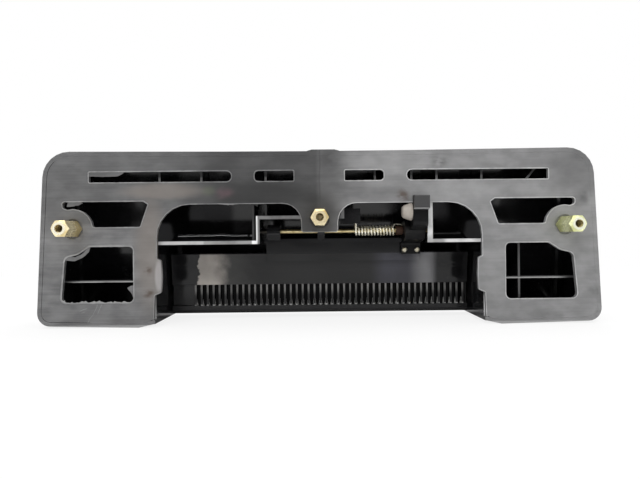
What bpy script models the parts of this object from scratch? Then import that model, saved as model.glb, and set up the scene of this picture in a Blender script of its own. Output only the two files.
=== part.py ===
"""Trunk lid handle, seen from the side that bolts to the lid.

A moulded cover carries a flat back frame, a hinge pin and a finger paddle that a torsion
spring closes. A lever on the paddle works the latch. Metres, +Z up, +Y towards the front
skin. The origin lies on the mounting plane, on the centre line, above the hinge bay.
"""

import math

import bmesh
import bpy
from mathutils import Matrix, Vector

# Fits and general values
FIT_GAP = 0.0003
RUN_GAP = 0.0020
SEAM_LAP = 0.0003
ARC_STEP = math.radians(15)
OVERCUT = 0.004
FLAT_ANGLE = math.radians(0.1)

# Cover outline, seen from behind
POCKET_HALF_WIDTH = 0.1075
SIDE_WIDTH = 0.0710
SIDE_FLARE = 0.0055
TOP_HALF_WIDTH = POCKET_HALF_WIDTH + SIDE_WIDTH
BOTTOM_HALF_WIDTH = TOP_HALF_WIDTH + SIDE_FLARE
TOP_Z = 0.0303
TOP_DIP = 0.0014
FOOT_Z = -0.0844
FOOT_RISE = 0.0015
LIP_RISE = 0.0022
FOOT_INSET = 0.0105
FOOT_OUTER_Z = FOOT_Z + FOOT_RISE
LIP_Z = FOOT_Z + LIP_RISE
FOOT_INNER_X = POCKET_HALF_WIDTH + FOOT_INSET
TOP_CORNER_R = 0.0175
BOTTOM_CORNER_R = 0.0085
FOOT_CORNER_R = 0.0020
LIP_CORNER_R = 0.0010
CROWN_R = 8.0

# Cover section
COVER_WALL = 0.0026
DEPTH_TOP = 0.0360
DEPTH_BOTTOM = 0.0600
FRONT_EDGE_R = 0.0080
FRONT_EDGE_STEPS = 4
LIP_DEPTH = 0.0120
GATE_X = (-0.0052, 0.0104)
GATE_RISE = 0.0013
GATE_DEPTH = 0.0060

# Threaded standoffs
STUD_INSET = 0.0185
STUD_X = TOP_HALF_WIDTH - STUD_INSET
STUD_Z = -0.0200
CENTRE_STUD_RISE = 0.0055
CENTRE_STUD_Z = STUD_Z + CENTRE_STUD_RISE
STUD_FLATS = 0.0100
STUD_LENGTH = 0.0182
STUD_CHAMFER = 0.0012
STUD_SHANK_R = 0.0040
STUD_SHANK_LENGTH = 0.0085
STUD_BORE_R = 0.0025
STUD_BORE_DEPTH = 0.0150
STUD_RECESS_GAP = 0.0008
STUD_RECESS_DEPTH = 0.0012
BOSS_WALL = 0.0032
BOSS_FLOOR = 0.0020
BOSS_WINDOW_GAP = 0.0053
BOSS_R = STUD_SHANK_R + FIT_GAP + BOSS_WALL
BOSS_WINDOW_R = BOSS_R + BOSS_WINDOW_GAP

BOSS_END_Y = STUD_RECESS_DEPTH + STUD_SHANK_LENGTH + FIT_GAP + BOSS_FLOOR

# Hinge pin, with the paddle's lugs clear of the middle boss
LUG_R = 0.0045
LUG_BOSS_GAP = 0.0015
PIN_Y = BOSS_END_Y + LUG_BOSS_GAP + LUG_R
PIN_Z = -0.0226
PIN_R = 0.0015

# Latch rod's clip
CLIP_Y = 0.0020
CLIP_RISE = 0.0118
CLIP_Z = PIN_Z + CLIP_RISE
CLIP_R = 0.0058
CLIP_TIP_R = 0.0042
CLIP_EDGE = 0.0010
CLIP_LENGTH = 0.0062
CLIP_STEM_R = 0.0024
CLIP_STEM_LENGTH = 0.0060

# Back frame
FRAME_T = 0.0030
LEG_TOP_LAP = 0.0015
LEG_BOTTOM_GAP = 0.0008
LEG_TOP_X = POCKET_HALF_WIDTH - LEG_TOP_LAP
LEG_BOTTOM_X = POCKET_HALF_WIDTH + LEG_BOTTOM_GAP
LEG_CORNER_R = 0.0006
LOBE_CLIP_GAP = 0.0004
LOBE_TOP_Z = CLIP_Z + CLIP_R + LOBE_CLIP_GAP
LOBE_OUTER_R = 0.0215
LOBE_INNER_R = 0.0125
BRIDGE_HALF_WIDTH = 0.0118
BRIDGE_DROP = 0.0089
BRIDGE_BOTTOM_Z = CENTRE_STUD_Z - BRIDGE_DROP
BRIDGE_R = 0.0015
TAB_LAP = 0.0041
TAB_X = POCKET_HALF_WIDTH - TAB_LAP
TAB_HEIGHT = 0.0232
TAB_CLEARANCE = 0.0214
TAB_BOTTOM_Z = FOOT_Z + TAB_CLEARANCE
TAB_TOP_Z = TAB_BOTTOM_Z + TAB_HEIGHT
TAB_CHAMFER = 0.0012
TAB_BOW = 0.0005
TAB_BOW_R = 0.0300
SLOT_DROP = 0.0135
SLOT_HEIGHT = 0.0070
SLOT_TOP_Z = TOP_Z - SLOT_DROP
SLOT_BOTTOM_Z = SLOT_TOP_Z - SLOT_HEIGHT
LONG_SLOT_START_X = 0.0570
LONG_SLOT_MARGIN = 0.0290
LONG_SLOT_X = (LONG_SLOT_START_X, TOP_HALF_WIDTH - LONG_SLOT_MARGIN)
LONG_SLOT_INNER_R = 0.0034
SHORT_SLOT_X = (0.0165, 0.0422)
SHORT_SLOT_OUTER_R = 0.0026
SLOT_CORNER_R = 0.0008
WINDOW_RISE = 0.0176
WINDOW_HEIGHT = 0.0168
WINDOW_BAR = 0.0038
WINDOW_SLANT = 0.0052
WINDOW_NOSE = (0.0030, 0.0021)
WINDOW_TAIL = 0.0067
WINDOW_TAIL_H = 0.0040
WINDOW_TOP_Z = STUD_Z + WINDOW_RISE
WINDOW_BOTTOM_Z = WINDOW_TOP_Z - WINDOW_HEIGHT
WINDOW_INNER_X = POCKET_HALF_WIDTH + WINDOW_BAR
WINDOW_SHOULDER = 0.0016
WINDOW_TIGHT_R = 0.0006
WINDOW_EASY_R = 0.0012
WINDOW_TAIL_R = 0.0018
WINDOW_ARC = (math.radians(74), math.radians(174))
WINDOW_ARC_STEPS = 6
LEG_WINDOW_BAR = 0.0135
LEG_WINDOW_MARGIN = 0.0158
LEG_WINDOW_DROP = 0.0115
LEG_WINDOW_RAIL = 0.0162
LEG_WINDOW_TOP_Z = STUD_Z - LEG_WINDOW_DROP
LEG_WINDOW_BOTTOM_Z = FOOT_Z + LEG_WINDOW_RAIL
LEG_WINDOW_X = (POCKET_HALF_WIDTH + LEG_WINDOW_BAR, BOTTOM_HALF_WIDTH - LEG_WINDOW_MARGIN)
LEG_WINDOW_R = 0.0035
LEG_WINDOW_NECK = 0.0105
LEG_WINDOW_SHOULDER = (0.0030, 0.0165, 0.0060)
LEG_WINDOW_PEAK = (0.0027, 0.0185, 0.0040)
LEG_WINDOW_TOP_R = (0.0030, 0.0020)

# Pocket and hinge bay walls of the cover
WALL_T = 0.0022
CEILING_DROP = 0.0083
CEILING_Z = PIN_Z - CEILING_DROP
BAY_LEFT_X = -0.0395
BAY_RIGHT_X = 0.0722
BAY_CEILING_RISE = 0.0079
BAY_CEILING_Z = PIN_Z + BAY_CEILING_RISE
BAY_STEP_X = 0.0140
BAY_TOP_RISE = 0.0234
BAY_TOP_Z = PIN_Z + BAY_TOP_RISE
RIB_T = 0.0014
RIB_DEPTH = 0.0110
SIDE_RIB_Z = -0.0550
SIDE_POST_INSET = 0.0265
SIDE_POST_X = POCKET_HALF_WIDTH + SIDE_POST_INSET
TOP_RIBS_X = (-0.1070, -0.0790, -0.0360, 0.0375, 0.0620, 0.0790, 0.1093)
TOP_RIB_GAP = 0.0052
TOP_RIB_FOOT_Z = BAY_TOP_Z + TOP_RIB_GAP
DIAGONAL_MARGIN = (0.0435, 0.0315)
DIAGONAL_DROP = 0.0103
DIAGONAL_RIB = ((TOP_HALF_WIDTH - DIAGONAL_MARGIN[0], TOP_RIB_FOOT_Z),
                (TOP_HALF_WIDTH - DIAGONAL_MARGIN[1], TOP_Z - DIAGONAL_DROP))
BAY_RIB_OFFSETS = (-0.0050, 0.0035)
SPRING_REST_LENGTH = 0.0130
SPRING_REST_RISE = (0.0046, 0.0146)
SPRING_REST_BACK_Y = 0.0060
SPRING_REST_X = (BAY_STEP_X, BAY_STEP_X + SPRING_REST_LENGTH)
SPRING_REST_Z = (PIN_Z + SPRING_REST_RISE[0], PIN_Z + SPRING_REST_RISE[1])

# Paddle
WEB_SETBACK = 0.0105
WEB_BACK_Y = PIN_Y + WEB_SETBACK
WEB_DROP = 0.0049
WEB_TOP_Z = PIN_Z - WEB_DROP
WEB_LAP = 0.0060
WEB_T = 0.0026
FLANGE_SETBACK = 0.0020
FLANGE_BACK_Y = PIN_Y + FLANGE_SETBACK
PADDLE_TOP_GAP = 0.0066
PADDLE_TOP_Z = CEILING_Z - PADDLE_TOP_GAP
PADDLE_LIP_GAP = 0.0032
PADDLE_BOTTOM_Z = LIP_Z + PADDLE_LIP_GAP
PADDLE_STEP = 0.0015
PADDLE_TOP_Y = WEB_BACK_Y + PADDLE_STEP
PADDLE_SLOPE = 0.0034
PADDLE_GRIP_Y = PADDLE_TOP_Y + PADDLE_SLOPE
PADDLE_WAIST = 0.0020
PADDLE_T = 0.0030
PADDLE_EDGE_R = 0.0008
PADDLE_FOOT_R = (0.0010, 0.0012)
PADDLE_WAIST_R = 0.0300
PADDLE_BACK_R = 0.0100
GRIP_RAIL = 0.0040
GRIP_HEIGHT = 0.0150
GRIP_BOTTOM_Z = PADDLE_BOTTOM_Z + GRIP_RAIL
GRIP_TOP_Z = GRIP_BOTTOM_Z + GRIP_HEIGHT
GRIP_DEPTH = 0.0028
GRIP_R = 0.0003
COMB_LEFT_MARGIN = 0.0165
COMB_RIGHT_MARGIN = 0.0032
COMB_PITCH = 0.00425
COMB_RIB_T = 0.0013
LUG_HEEL = 0.0020
LUG_HEEL_R = 0.0005
LEFT_LUG_GAP = 0.0039
LEFT_LUG_WIDTH = 0.0089
LEFT_LUG_X = (BAY_LEFT_X + LEFT_LUG_GAP, BAY_LEFT_X + LEFT_LUG_GAP + LEFT_LUG_WIDTH)
CENTRE_LUG_X = (-0.0014, 0.0034)

# Release lever
LEVER_SIDE_GAP = 0.0017
LEVER_RIGHT_X = BAY_RIGHT_X - LEVER_SIDE_GAP
LEVER_WIDTH = 0.0135
LEVER_LEFT_X = LEVER_RIGHT_X - LEVER_WIDTH
LEVER_HEAD_WIDTH = 0.0100
LEVER_HEAD_X = LEVER_RIGHT_X - LEVER_HEAD_WIDTH
LEVER_FOOT_T = 0.0030
LEVER_FOOT_DROP = 0.0164
LEVER_FOOT_BOTTOM_Z = PIN_Z - LEVER_FOOT_DROP
LEVER_HUB_R = 0.0065
LEVER_CORNER_R = 0.0006
LEVER_HEEL_SHARE = 0.70
LEVER_HEEL_R = 0.0010
LEVER_BACK_SHARE = 0.85
LEVER_BACK_R = 0.0050
LEVER_SHOULDER_R = 0.0020
LEVER_NOSE_R = 0.0040
LEVER_CHIN_SHARE = 1.30
LEVER_CHIN_R = 0.0030
LEVER_RISE = 0.0151
LEVER_TOP_Z = PIN_Z + LEVER_RISE
HEAD_PROUD = 0.0080
HEAD_RISE = 0.0221
HEAD_HEIGHT = 0.0086
HEAD_TOP_Z = PIN_Z + HEAD_RISE
HEAD_BOTTOM_Z = HEAD_TOP_Z - HEAD_HEIGHT
HEAD_NECK = 0.0030
HEAD_NECK_DROP = 0.00065
HEAD_ARM_SHARE = 1.85
HEAD_CREST_R = 0.0030
HEAD_LIP_R = 0.0012
HEAD_EDGE_R = 0.0005
SCREW_R = 0.0011
SCREW_HEAD_R = 0.0018
SCREW_HEAD_T = 0.0012
SCREW_DROP = 0.0134
SCREW_Z = PIN_Z - SCREW_DROP
SCREW_INSET = 0.0024
SCREWS_X = (("left", LEVER_LEFT_X + SCREW_INSET), ("right", LEVER_RIGHT_X - SCREW_INSET))

# Pivot bush and return spring
BUSH_WALL = 0.0008
BUSH_R = PIN_R + FIT_GAP + BUSH_WALL
BUSH_COLLAR = 0.0005
BUSH_COLLAR_R = BUSH_R + BUSH_COLLAR
BUSH_COLLAR_LENGTH = 0.0046
SPRING_WIRE_R = 0.0007
SPRING_CLEARANCE = 0.00085
SPRING_R = PIN_R + SPRING_CLEARANCE + SPRING_WIRE_R
SPRING_START_INSET = 0.0024
SPRING_START_X = SPRING_REST_X[1] - SPRING_START_INSET
SPRING_PITCH = 0.00212
SPRING_POINTS_PER_TURN = 14
SPRING_LEG = 0.0105
SPRING_HOOK_WALL = 0.0016
SPRING_HOOK_DEPTH = 0.0030
SPRING_HOOK_Y = PIN_Y + SPRING_R
SPRING_HOOK_Z = PIN_Z + LEVER_HUB_R - SPRING_HOOK_WALL - SPRING_WIRE_R


def clear_scene():
    for old in list(bpy.data.objects):
        bpy.data.objects.remove(old)


def make_collection(name):
    coll = bpy.data.collections.new(name)
    bpy.context.scene.collection.children.link(coll)
    return coll


clear_scene()
PARTS = make_collection("trunk_lid_handle")
CUTTERS = make_collection("cutters")


def make_material(name, colour, roughness, metallic=0.0):
    mat = bpy.data.materials.new(name)
    mat.use_nodes = True
    shader = mat.node_tree.nodes["Principled BSDF"]
    shader.inputs["Base Color"].default_value = (*colour, 1.0)
    shader.inputs["Roughness"].default_value = roughness
    shader.inputs["Metallic"].default_value = metallic
    return mat


# Outlines

def arc_corner(before, corner, after, radius):
    """Points of the arc that rounds one corner, or the corner itself."""
    to_before = (before - corner).normalized()
    to_after = (after - corner).normalized()
    turn = math.pi - to_before.angle(to_after)
    if radius <= 0 or turn < 1e-4:
        return [corner]
    reach = radius * math.tan(turn / 2)
    reach = min(reach, 0.7 * min((before - corner).length, (after - corner).length))
    radius = reach / math.tan(turn / 2)
    middle = corner + (to_before + to_after).normalized() * radius / math.cos(turn / 2)
    start = corner + to_before * reach - middle
    steps = max(2, math.ceil(turn / ARC_STEP))
    side = 1.0 if to_before.cross(to_after) < 0 else -1.0
    points = []
    for step in range(steps + 1):
        angle = side * turn * step / steps
        c = math.cos(angle)
        s = math.sin(angle)
        points.append(middle + Vector((start.x * c - start.y * s, start.x * s + start.y * c)))
    return points


def rounded(corners):
    """Closed outline of (a, b, radius) corners, each rounded by an arc."""
    flat = [Vector((a, b)) for a, b, _ in corners]
    points = []
    for index, (_, _, radius) in enumerate(corners):
        before = flat[index - 1]
        after = flat[(index + 1) % len(flat)]
        points += arc_corner(before, flat[index], after, radius)
    return points


def both_sides(half):
    """Corners for x > 0, from the top centre round to the bottom, with their mirror image."""
    return half + [(-a, b, radius) for a, b, radius in reversed(half)]


def thick_path(path, thickness):
    """Outline of a wall of even thickness that follows a path, with mitred corners."""
    points = [Vector(p) for p in path]
    left = []
    right = []
    for index, point in enumerate(points):
        ahead = (points[min(index + 1, len(points) - 1)] - point)
        behind = (point - points[max(index - 1, 0)])
        ahead = (ahead if ahead.length > 0 else behind).normalized()
        behind = (behind if behind.length > 0 else ahead).normalized()
        normal = Vector((-(ahead + behind).y, (ahead + behind).x)).normalized()
        straight = Vector((-ahead.y, ahead.x))
        offset = normal * thickness / 2 / normal.dot(straight)
        left.append(point + offset)
        right.append(point - offset)
    return left + right[::-1]


# Solids

BACK_VIEW = Matrix(((1, 0, 0, 0), (0, 0, -1, 0), (0, 1, 0, 0), (0, 0, 0, 1)))
SIDE_VIEW = Matrix(((0, 0, 1, 0), (1, 0, 0, 0), (0, 1, 0, 0), (0, 0, 0, 1)))


def finish_object(obj, coll, material=None):
    for user in list(obj.users_collection):
        user.objects.unlink(obj)
    coll.objects.link(obj)
    if coll is CUTTERS:
        obj.hide_render = True
        obj.display_type = "WIRE"
    if material:
        obj.data.materials.clear()
        obj.data.materials.append(material)
    return obj


def mesh_from_curve(name, curve, matrix):
    """Makes a curve a welded mesh, turned by a matrix."""
    source = bpy.data.objects.new(name + "_curve", curve)
    bpy.context.scene.collection.objects.link(source)
    graph = bpy.context.evaluated_depsgraph_get()
    mesh = bpy.data.meshes.new_from_object(source.evaluated_get(graph))
    bpy.data.objects.remove(source)
    bm = bmesh.new()
    bm.from_mesh(mesh)
    bmesh.ops.remove_doubles(bm, verts=bm.verts, dist=0.000005)
    bmesh.ops.transform(bm, matrix=matrix, verts=bm.verts)
    if curve.dimensions == "2D":
        bmesh.ops.beautify_fill(bm, faces=bm.faces, edges=bm.edges)
        bmesh.ops.dissolve_limit(bm, angle_limit=FLAT_ANGLE, verts=[], edges=bm.edges)
    bmesh.ops.recalc_face_normals(bm, faces=bm.faces)
    bm.to_mesh(mesh)
    bm.free()
    mesh.name = name
    return mesh


def extruded(name, outlines, low, high, coll, material=None, view=BACK_VIEW):
    """Extrudes an outline, with any holes after it, from low to high along the view."""
    curve = bpy.data.curves.new(name, "CURVE")
    curve.dimensions = "2D"
    curve.fill_mode = "BOTH"
    curve.extrude = (high - low) / 2
    for outline in outlines:
        spline = curve.splines.new("POLY")
        spline.points.add(len(outline) - 1)
        for point, place in zip(spline.points, outline):
            point.co = (place[0], place[1], 0.0, 1.0)
        spline.use_cyclic_u = True
    shift = (low + high) / 2
    shift = -shift if view is BACK_VIEW else shift
    mesh = mesh_from_curve(name, curve, view @ Matrix.Translation((0, 0, shift)))
    return finish_object(bpy.data.objects.new(name, mesh), coll, material)


def block(name, x, y, z, coll=CUTTERS):
    """A box between two values on each axis."""
    bm = bmesh.new()
    size = (x[1] - x[0], y[1] - y[0], z[1] - z[0], 1)
    middle = Vector((x[1] + x[0], y[1] + y[0], z[1] + z[0])) / 2
    bmesh.ops.create_cube(bm, size=1.0, matrix=Matrix.Translation(middle) @ Matrix.Diagonal(size))
    mesh = bpy.data.meshes.new(name)
    bm.to_mesh(mesh)
    bm.free()
    return finish_object(bpy.data.objects.new(name, mesh), coll)


def turned(name, profile, centre, axis, coll, material=None, steps=24):
    """Turns a profile of (radius, height) points round an axis through a centre."""
    curve_mesh = bpy.data.meshes.new(name)
    edges = [(i, i + 1) for i in range(len(profile) - 1)]
    if profile[0][0] > 0:
        edges.append((len(profile) - 1, 0))
    curve_mesh.from_pydata([(radius, 0, height) for radius, height in profile], edges, [])
    obj = bpy.data.objects.new(name, curve_mesh)
    obj.location = centre
    obj.rotation_euler = Vector(axis).to_track_quat("Z", "Y").to_euler()
    screw = obj.modifiers.new("turn", "SCREW")
    screw.steps = steps
    screw.render_steps = steps
    screw.use_merge_vertices = True
    screw.merge_threshold = 0.00001
    finish_object(obj, coll, material)
    return obj


def rod(name, start, end, radius, coll=CUTTERS, material=None, steps=24):
    """A plain cylinder between two points."""
    start = Vector(start)
    length = (Vector(end) - start).length
    profile = [(0, length), (radius, length), (radius, 0), (0, 0)]
    return turned(name, profile, start, Vector(end) - start, coll, material, steps)


def boolean(obj, tool, operation):
    mod = obj.modifiers.new(operation.lower() + "_" + tool.name, "BOOLEAN")
    mod.operation = operation
    mod.solver = "EXACT"
    mod.object = tool
    return mod


def smooth(obj, degrees=35):
    obj.data.shade_smooth()
    obj.data.set_sharp_from_angle(angle=math.radians(degrees))


# Outer cover

def cover_outline(inset):
    """The cover's outline, moved in by an inset."""
    half = [
        (TOP_HALF_WIDTH - inset, TOP_Z - inset, max(TOP_CORNER_R - inset, FIT_GAP)),
        (BOTTOM_HALF_WIDTH - inset, FOOT_OUTER_Z + inset, max(BOTTOM_CORNER_R - inset, FIT_GAP)),
        (FOOT_INNER_X, FOOT_Z + inset, FOOT_CORNER_R),
        (LEG_BOTTOM_X, LIP_Z + inset, LIP_CORNER_R),
    ]
    return rounded([(0, TOP_Z - TOP_DIP - inset, CROWN_R)] + both_sides(half))


def skin_depth(z):
    """Depth of the front skin at a height."""
    share = (TOP_Z - z) / (TOP_Z - FOOT_Z)
    return DEPTH_TOP + (DEPTH_BOTTOM - DEPTH_TOP) * share


def tray(name, inset, back_y, coll, material=None):
    """Solid inside the cover's outline, moved in by an inset, with a rounded front edge."""
    radius = max(FRONT_EDGE_R - inset, FIT_GAP)
    bm = bmesh.new()
    rings = [[bm.verts.new((p.x, back_y, p.y)) for p in cover_outline(inset)]]
    for step in range(FRONT_EDGE_STEPS + 1):
        angle = math.pi / 2 * step / FRONT_EDGE_STEPS
        outline = cover_outline(inset + radius * (1 - math.cos(angle)))
        back_off = inset + radius * (1 - math.sin(angle))
        rings.append([bm.verts.new((p.x, skin_depth(p.y) - back_off, p.y)) for p in outline])
    for ring, following in zip(rings, rings[1:]):
        count = len(ring)
        for i in range(count):
            j = (i + 1) % count
            bm.faces.new((ring[i], ring[j], following[j], following[i]))
    bm.faces.new(rings[0])
    bm.faces.new(rings[-1])
    bmesh.ops.recalc_face_normals(bm, faces=bm.faces)
    mesh = bpy.data.meshes.new(name)
    bm.to_mesh(mesh)
    bm.free()
    return finish_object(bpy.data.objects.new(name, mesh), coll, material)


def pocket_wall_path():
    """Middle line of the wall that runs round the hand pocket and the hinge bay."""
    half = WALL_T / 2
    side = POCKET_HALF_WIDTH + half
    ceiling = CEILING_Z + half
    left = BAY_LEFT_X - half
    right = BAY_RIGHT_X + half
    bay = BAY_CEILING_Z + half
    step = BAY_STEP_X + half
    top = BAY_TOP_Z + half
    low = FOOT_Z + COVER_WALL / 2
    return [(-side, low), (-side, ceiling), (left, ceiling), (left, bay), (step, bay), (step, top),
            (right, top), (right, ceiling), (side, ceiling), (side, low)]


def stiffening_ribs():
    """Middle lines of the ribs that stand on the inside of the skin."""
    wall = POCKET_HALF_WIDTH + WALL_T / 2
    ribs = [[(x, TOP_RIB_FOOT_Z), (x, TOP_Z)] for x in TOP_RIBS_X]
    ribs.append(list(DIAGONAL_RIB))
    for side in (-1, 1):
        ribs.append([(side * wall, SIDE_RIB_Z), (side * BOTTOM_HALF_WIDTH, SIDE_RIB_Z)])
    ribs.append([(SIDE_POST_X, CEILING_Z), (SIDE_POST_X, FOOT_Z)])
    for offset, foot in zip(BAY_RIB_OFFSETS, (CEILING_Z, BAY_CEILING_Z)):
        x = BAY_LEFT_X + offset
        ribs.append([(x, foot + WALL_T / 2), (x, LOBE_TOP_Z)])
    return ribs


def make_cover(material):
    cover = tray("outer_cover", 0.0, 0.0, PARTS, material)
    hollow = tray("cover_hollow", COVER_WALL, -OVERCUT, CUTTERS)
    boolean(cover, hollow, "DIFFERENCE")
    mouth = block("pocket_mouth", (-POCKET_HALF_WIDTH, POCKET_HALF_WIDTH),
                  (-OVERCUT, DEPTH_BOTTOM - LIP_DEPTH), (FOOT_Z - OVERCUT, FOOT_Z + 2 * OVERCUT))
    boolean(cover, mouth, "DIFFERENCE")
    crown = TOP_Z - TOP_DIP
    gate = block("cover_gate", GATE_X, (0, GATE_DEPTH), (crown - COVER_WALL / 2, crown + GATE_RISE))
    boolean(cover, gate, "UNION")
    wall_back = FRAME_T + FIT_GAP
    front = DEPTH_BOTTOM + OVERCUT
    wall_outline = thick_path(pocket_wall_path(), WALL_T)
    walls = extruded("cover_walls", [wall_outline], wall_back, front, CUTTERS)
    core = tray("cover_core", COVER_WALL / 2, -OVERCUT, CUTTERS)
    for index, path in enumerate(stiffening_ribs()):
        rib = extruded("cover_rib_%d" % index, [thick_path(path, RIB_T)], RIB_DEPTH, front, CUTTERS)
        boolean(walls, rib, "UNION")
    rest = block("spring_rest", SPRING_REST_X,
                 (SPRING_REST_BACK_Y, PIN_Y - SPRING_R - SPRING_WIRE_R - FIT_GAP), SPRING_REST_Z)
    boolean(walls, rest, "UNION")
    boolean(walls, core, "INTERSECT")
    boolean(cover, walls, "UNION")
    relief_end = (0, BOSS_END_Y + FIT_GAP, CENTRE_STUD_Z)
    relief = rod("boss_relief", (0, 0, CENTRE_STUD_Z), relief_end, BOSS_R + FIT_GAP)
    boolean(cover, relief, "DIFFERENCE")
    bore_start = (BAY_LEFT_X - 2 * WALL_T, PIN_Y, PIN_Z)
    bore_end = (BAY_RIGHT_X + 2 * WALL_T, PIN_Y, PIN_Z)
    bore = rod("pin_bore", bore_start, bore_end, PIN_R + FIT_GAP)
    boolean(cover, bore, "DIFFERENCE")
    return cover


# Back frame

def frame_outline():
    inset = COVER_WALL + FIT_GAP
    half = [
        (TOP_HALF_WIDTH - inset, TOP_Z - inset, TOP_CORNER_R - inset),
        (BOTTOM_HALF_WIDTH - inset, FOOT_OUTER_Z + inset, BOTTOM_CORNER_R - inset),
        (FOOT_INNER_X, FOOT_Z + inset, FOOT_CORNER_R),
        (LEG_BOTTOM_X, LIP_Z + inset, LEG_CORNER_R),
        (LEG_BOTTOM_X - TAB_CHAMFER / 2, TAB_BOTTOM_Z - TAB_CHAMFER / 2, LEG_CORNER_R),
        (TAB_X, TAB_BOTTOM_Z + TAB_CHAMFER, TAB_CHAMFER),
        (TAB_X - TAB_BOW, (TAB_TOP_Z + TAB_BOTTOM_Z) / 2, TAB_BOW_R),
        (TAB_X, TAB_TOP_Z - TAB_CHAMFER, TAB_CHAMFER),
        (LEG_TOP_X, TAB_TOP_Z, LEG_CORNER_R),
        (LEG_TOP_X, LOBE_TOP_Z, LOBE_OUTER_R),
        (BRIDGE_HALF_WIDTH, LOBE_TOP_Z, LOBE_INNER_R),
        (BRIDGE_HALF_WIDTH, BRIDGE_BOTTOM_Z, BRIDGE_R),
    ]
    return rounded([(0, TOP_Z - TOP_DIP - inset, CROWN_R)] + both_sides(half))


def mirrored(side, corners):
    """Rounds the corners, turned over for the side at x < 0."""
    return rounded([(side * a, b, radius) for a, b, radius in corners])


def slot_outline(side, x, inner_r, outer_r):
    inner, outer = x
    return mirrored(side, [(inner, SLOT_BOTTOM_Z, inner_r), (inner, SLOT_TOP_Z, inner_r),
                           (outer, SLOT_TOP_Z, outer_r), (outer, SLOT_BOTTOM_Z, outer_r)])


def upper_window(side):
    """Window over the standoff, its lower corner hollowed round the boss."""
    nose_x, nose_z = WINDOW_NOSE
    tail_x = STUD_X + WINDOW_TAIL
    corners = [
        (WINDOW_INNER_X, WINDOW_TOP_Z - nose_z, WINDOW_TIGHT_R),
        (WINDOW_INNER_X + nose_x, WINDOW_TOP_Z, WINDOW_EASY_R),
        (tail_x, WINDOW_TOP_Z, WINDOW_TAIL_R),
        (tail_x, WINDOW_TOP_Z - WINDOW_TAIL_H, WINDOW_TAIL_R),
    ]
    first, last = WINDOW_ARC
    for step in range(WINDOW_ARC_STEPS + 1):
        angle = first + (last - first) * step / WINDOW_ARC_STEPS
        reach_x = BOSS_WINDOW_R * math.cos(angle)
        corners.append((STUD_X + reach_x, STUD_Z + BOSS_WINDOW_R * math.sin(angle), 0))
    corners += [
        (STUD_X - BOSS_WINDOW_R - WINDOW_SHOULDER, WINDOW_BOTTOM_Z, WINDOW_TIGHT_R),
        (WINDOW_INNER_X + WINDOW_SLANT, WINDOW_BOTTOM_Z, WINDOW_EASY_R),
    ]
    return mirrored(side, corners)


def lower_window(side):
    """Window in the leg, with its top edge raised beside the boss."""
    inner, outer = LEG_WINDOW_X
    top_r, neck_r = LEG_WINDOW_TOP_R
    shoulder_x, shoulder_z, shoulder_r = LEG_WINDOW_SHOULDER
    peak_x, peak_z, peak_r = LEG_WINDOW_PEAK
    return mirrored(side, [
        (inner, LEG_WINDOW_BOTTOM_Z, LEG_WINDOW_R),
        (inner, LEG_WINDOW_TOP_Z, top_r),
        (STUD_X - LEG_WINDOW_NECK, LEG_WINDOW_TOP_Z, neck_r),
        (STUD_X - shoulder_x, STUD_Z - shoulder_z, shoulder_r),
        (outer - peak_x, STUD_Z - peak_z, peak_r),
        (outer, LEG_WINDOW_BOTTOM_Z, LEG_WINDOW_R),
    ])


def stud_corner_r():
    """Radius over the corners of a standoff's hexagon."""
    return STUD_FLATS / 2 / math.cos(math.pi / 6)


def studs():
    """Name, x and z of each standoff."""
    return (("left", -STUD_X, STUD_Z), ("centre", 0.0, CENTRE_STUD_Z), ("right", STUD_X, STUD_Z))


def make_frame(material):
    outlines = [frame_outline()]
    for side in (-1, 1):
        outlines.append(slot_outline(side, LONG_SLOT_X, LONG_SLOT_INNER_R, SLOT_CORNER_R))
        outlines.append(slot_outline(side, SHORT_SLOT_X, SLOT_CORNER_R, SHORT_SLOT_OUTER_R))
        outlines.append(upper_window(side))
        outlines.append(lower_window(side))
    frame = extruded("back_frame", outlines, 0.0, FRAME_T, PARTS, material)
    for name, x, z in studs():
        boss = rod("boss_" + name, (x, FRAME_T / 2, z), (x, BOSS_END_Y, z), BOSS_R)
        boolean(frame, boss, "UNION")
        floor = BOSS_END_Y - BOSS_FLOOR
        bore_r = STUD_SHANK_R + FIT_GAP
        recess_r = stud_corner_r() + STUD_RECESS_GAP
        profile = [(0, floor), (bore_r, floor), (bore_r, STUD_RECESS_DEPTH),
                   (recess_r, STUD_RECESS_DEPTH), (recess_r, -OVERCUT), (0, -OVERCUT)]
        socket = turned("socket_" + name, profile, (x, 0, z), (0, 1, 0), CUTTERS)
        boolean(frame, socket, "DIFFERENCE")
    facets = frame.modifiers.new("facets", "TRIANGULATE")
    facets.ngon_method = "BEAUTY"
    return frame


# Standoffs

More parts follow.
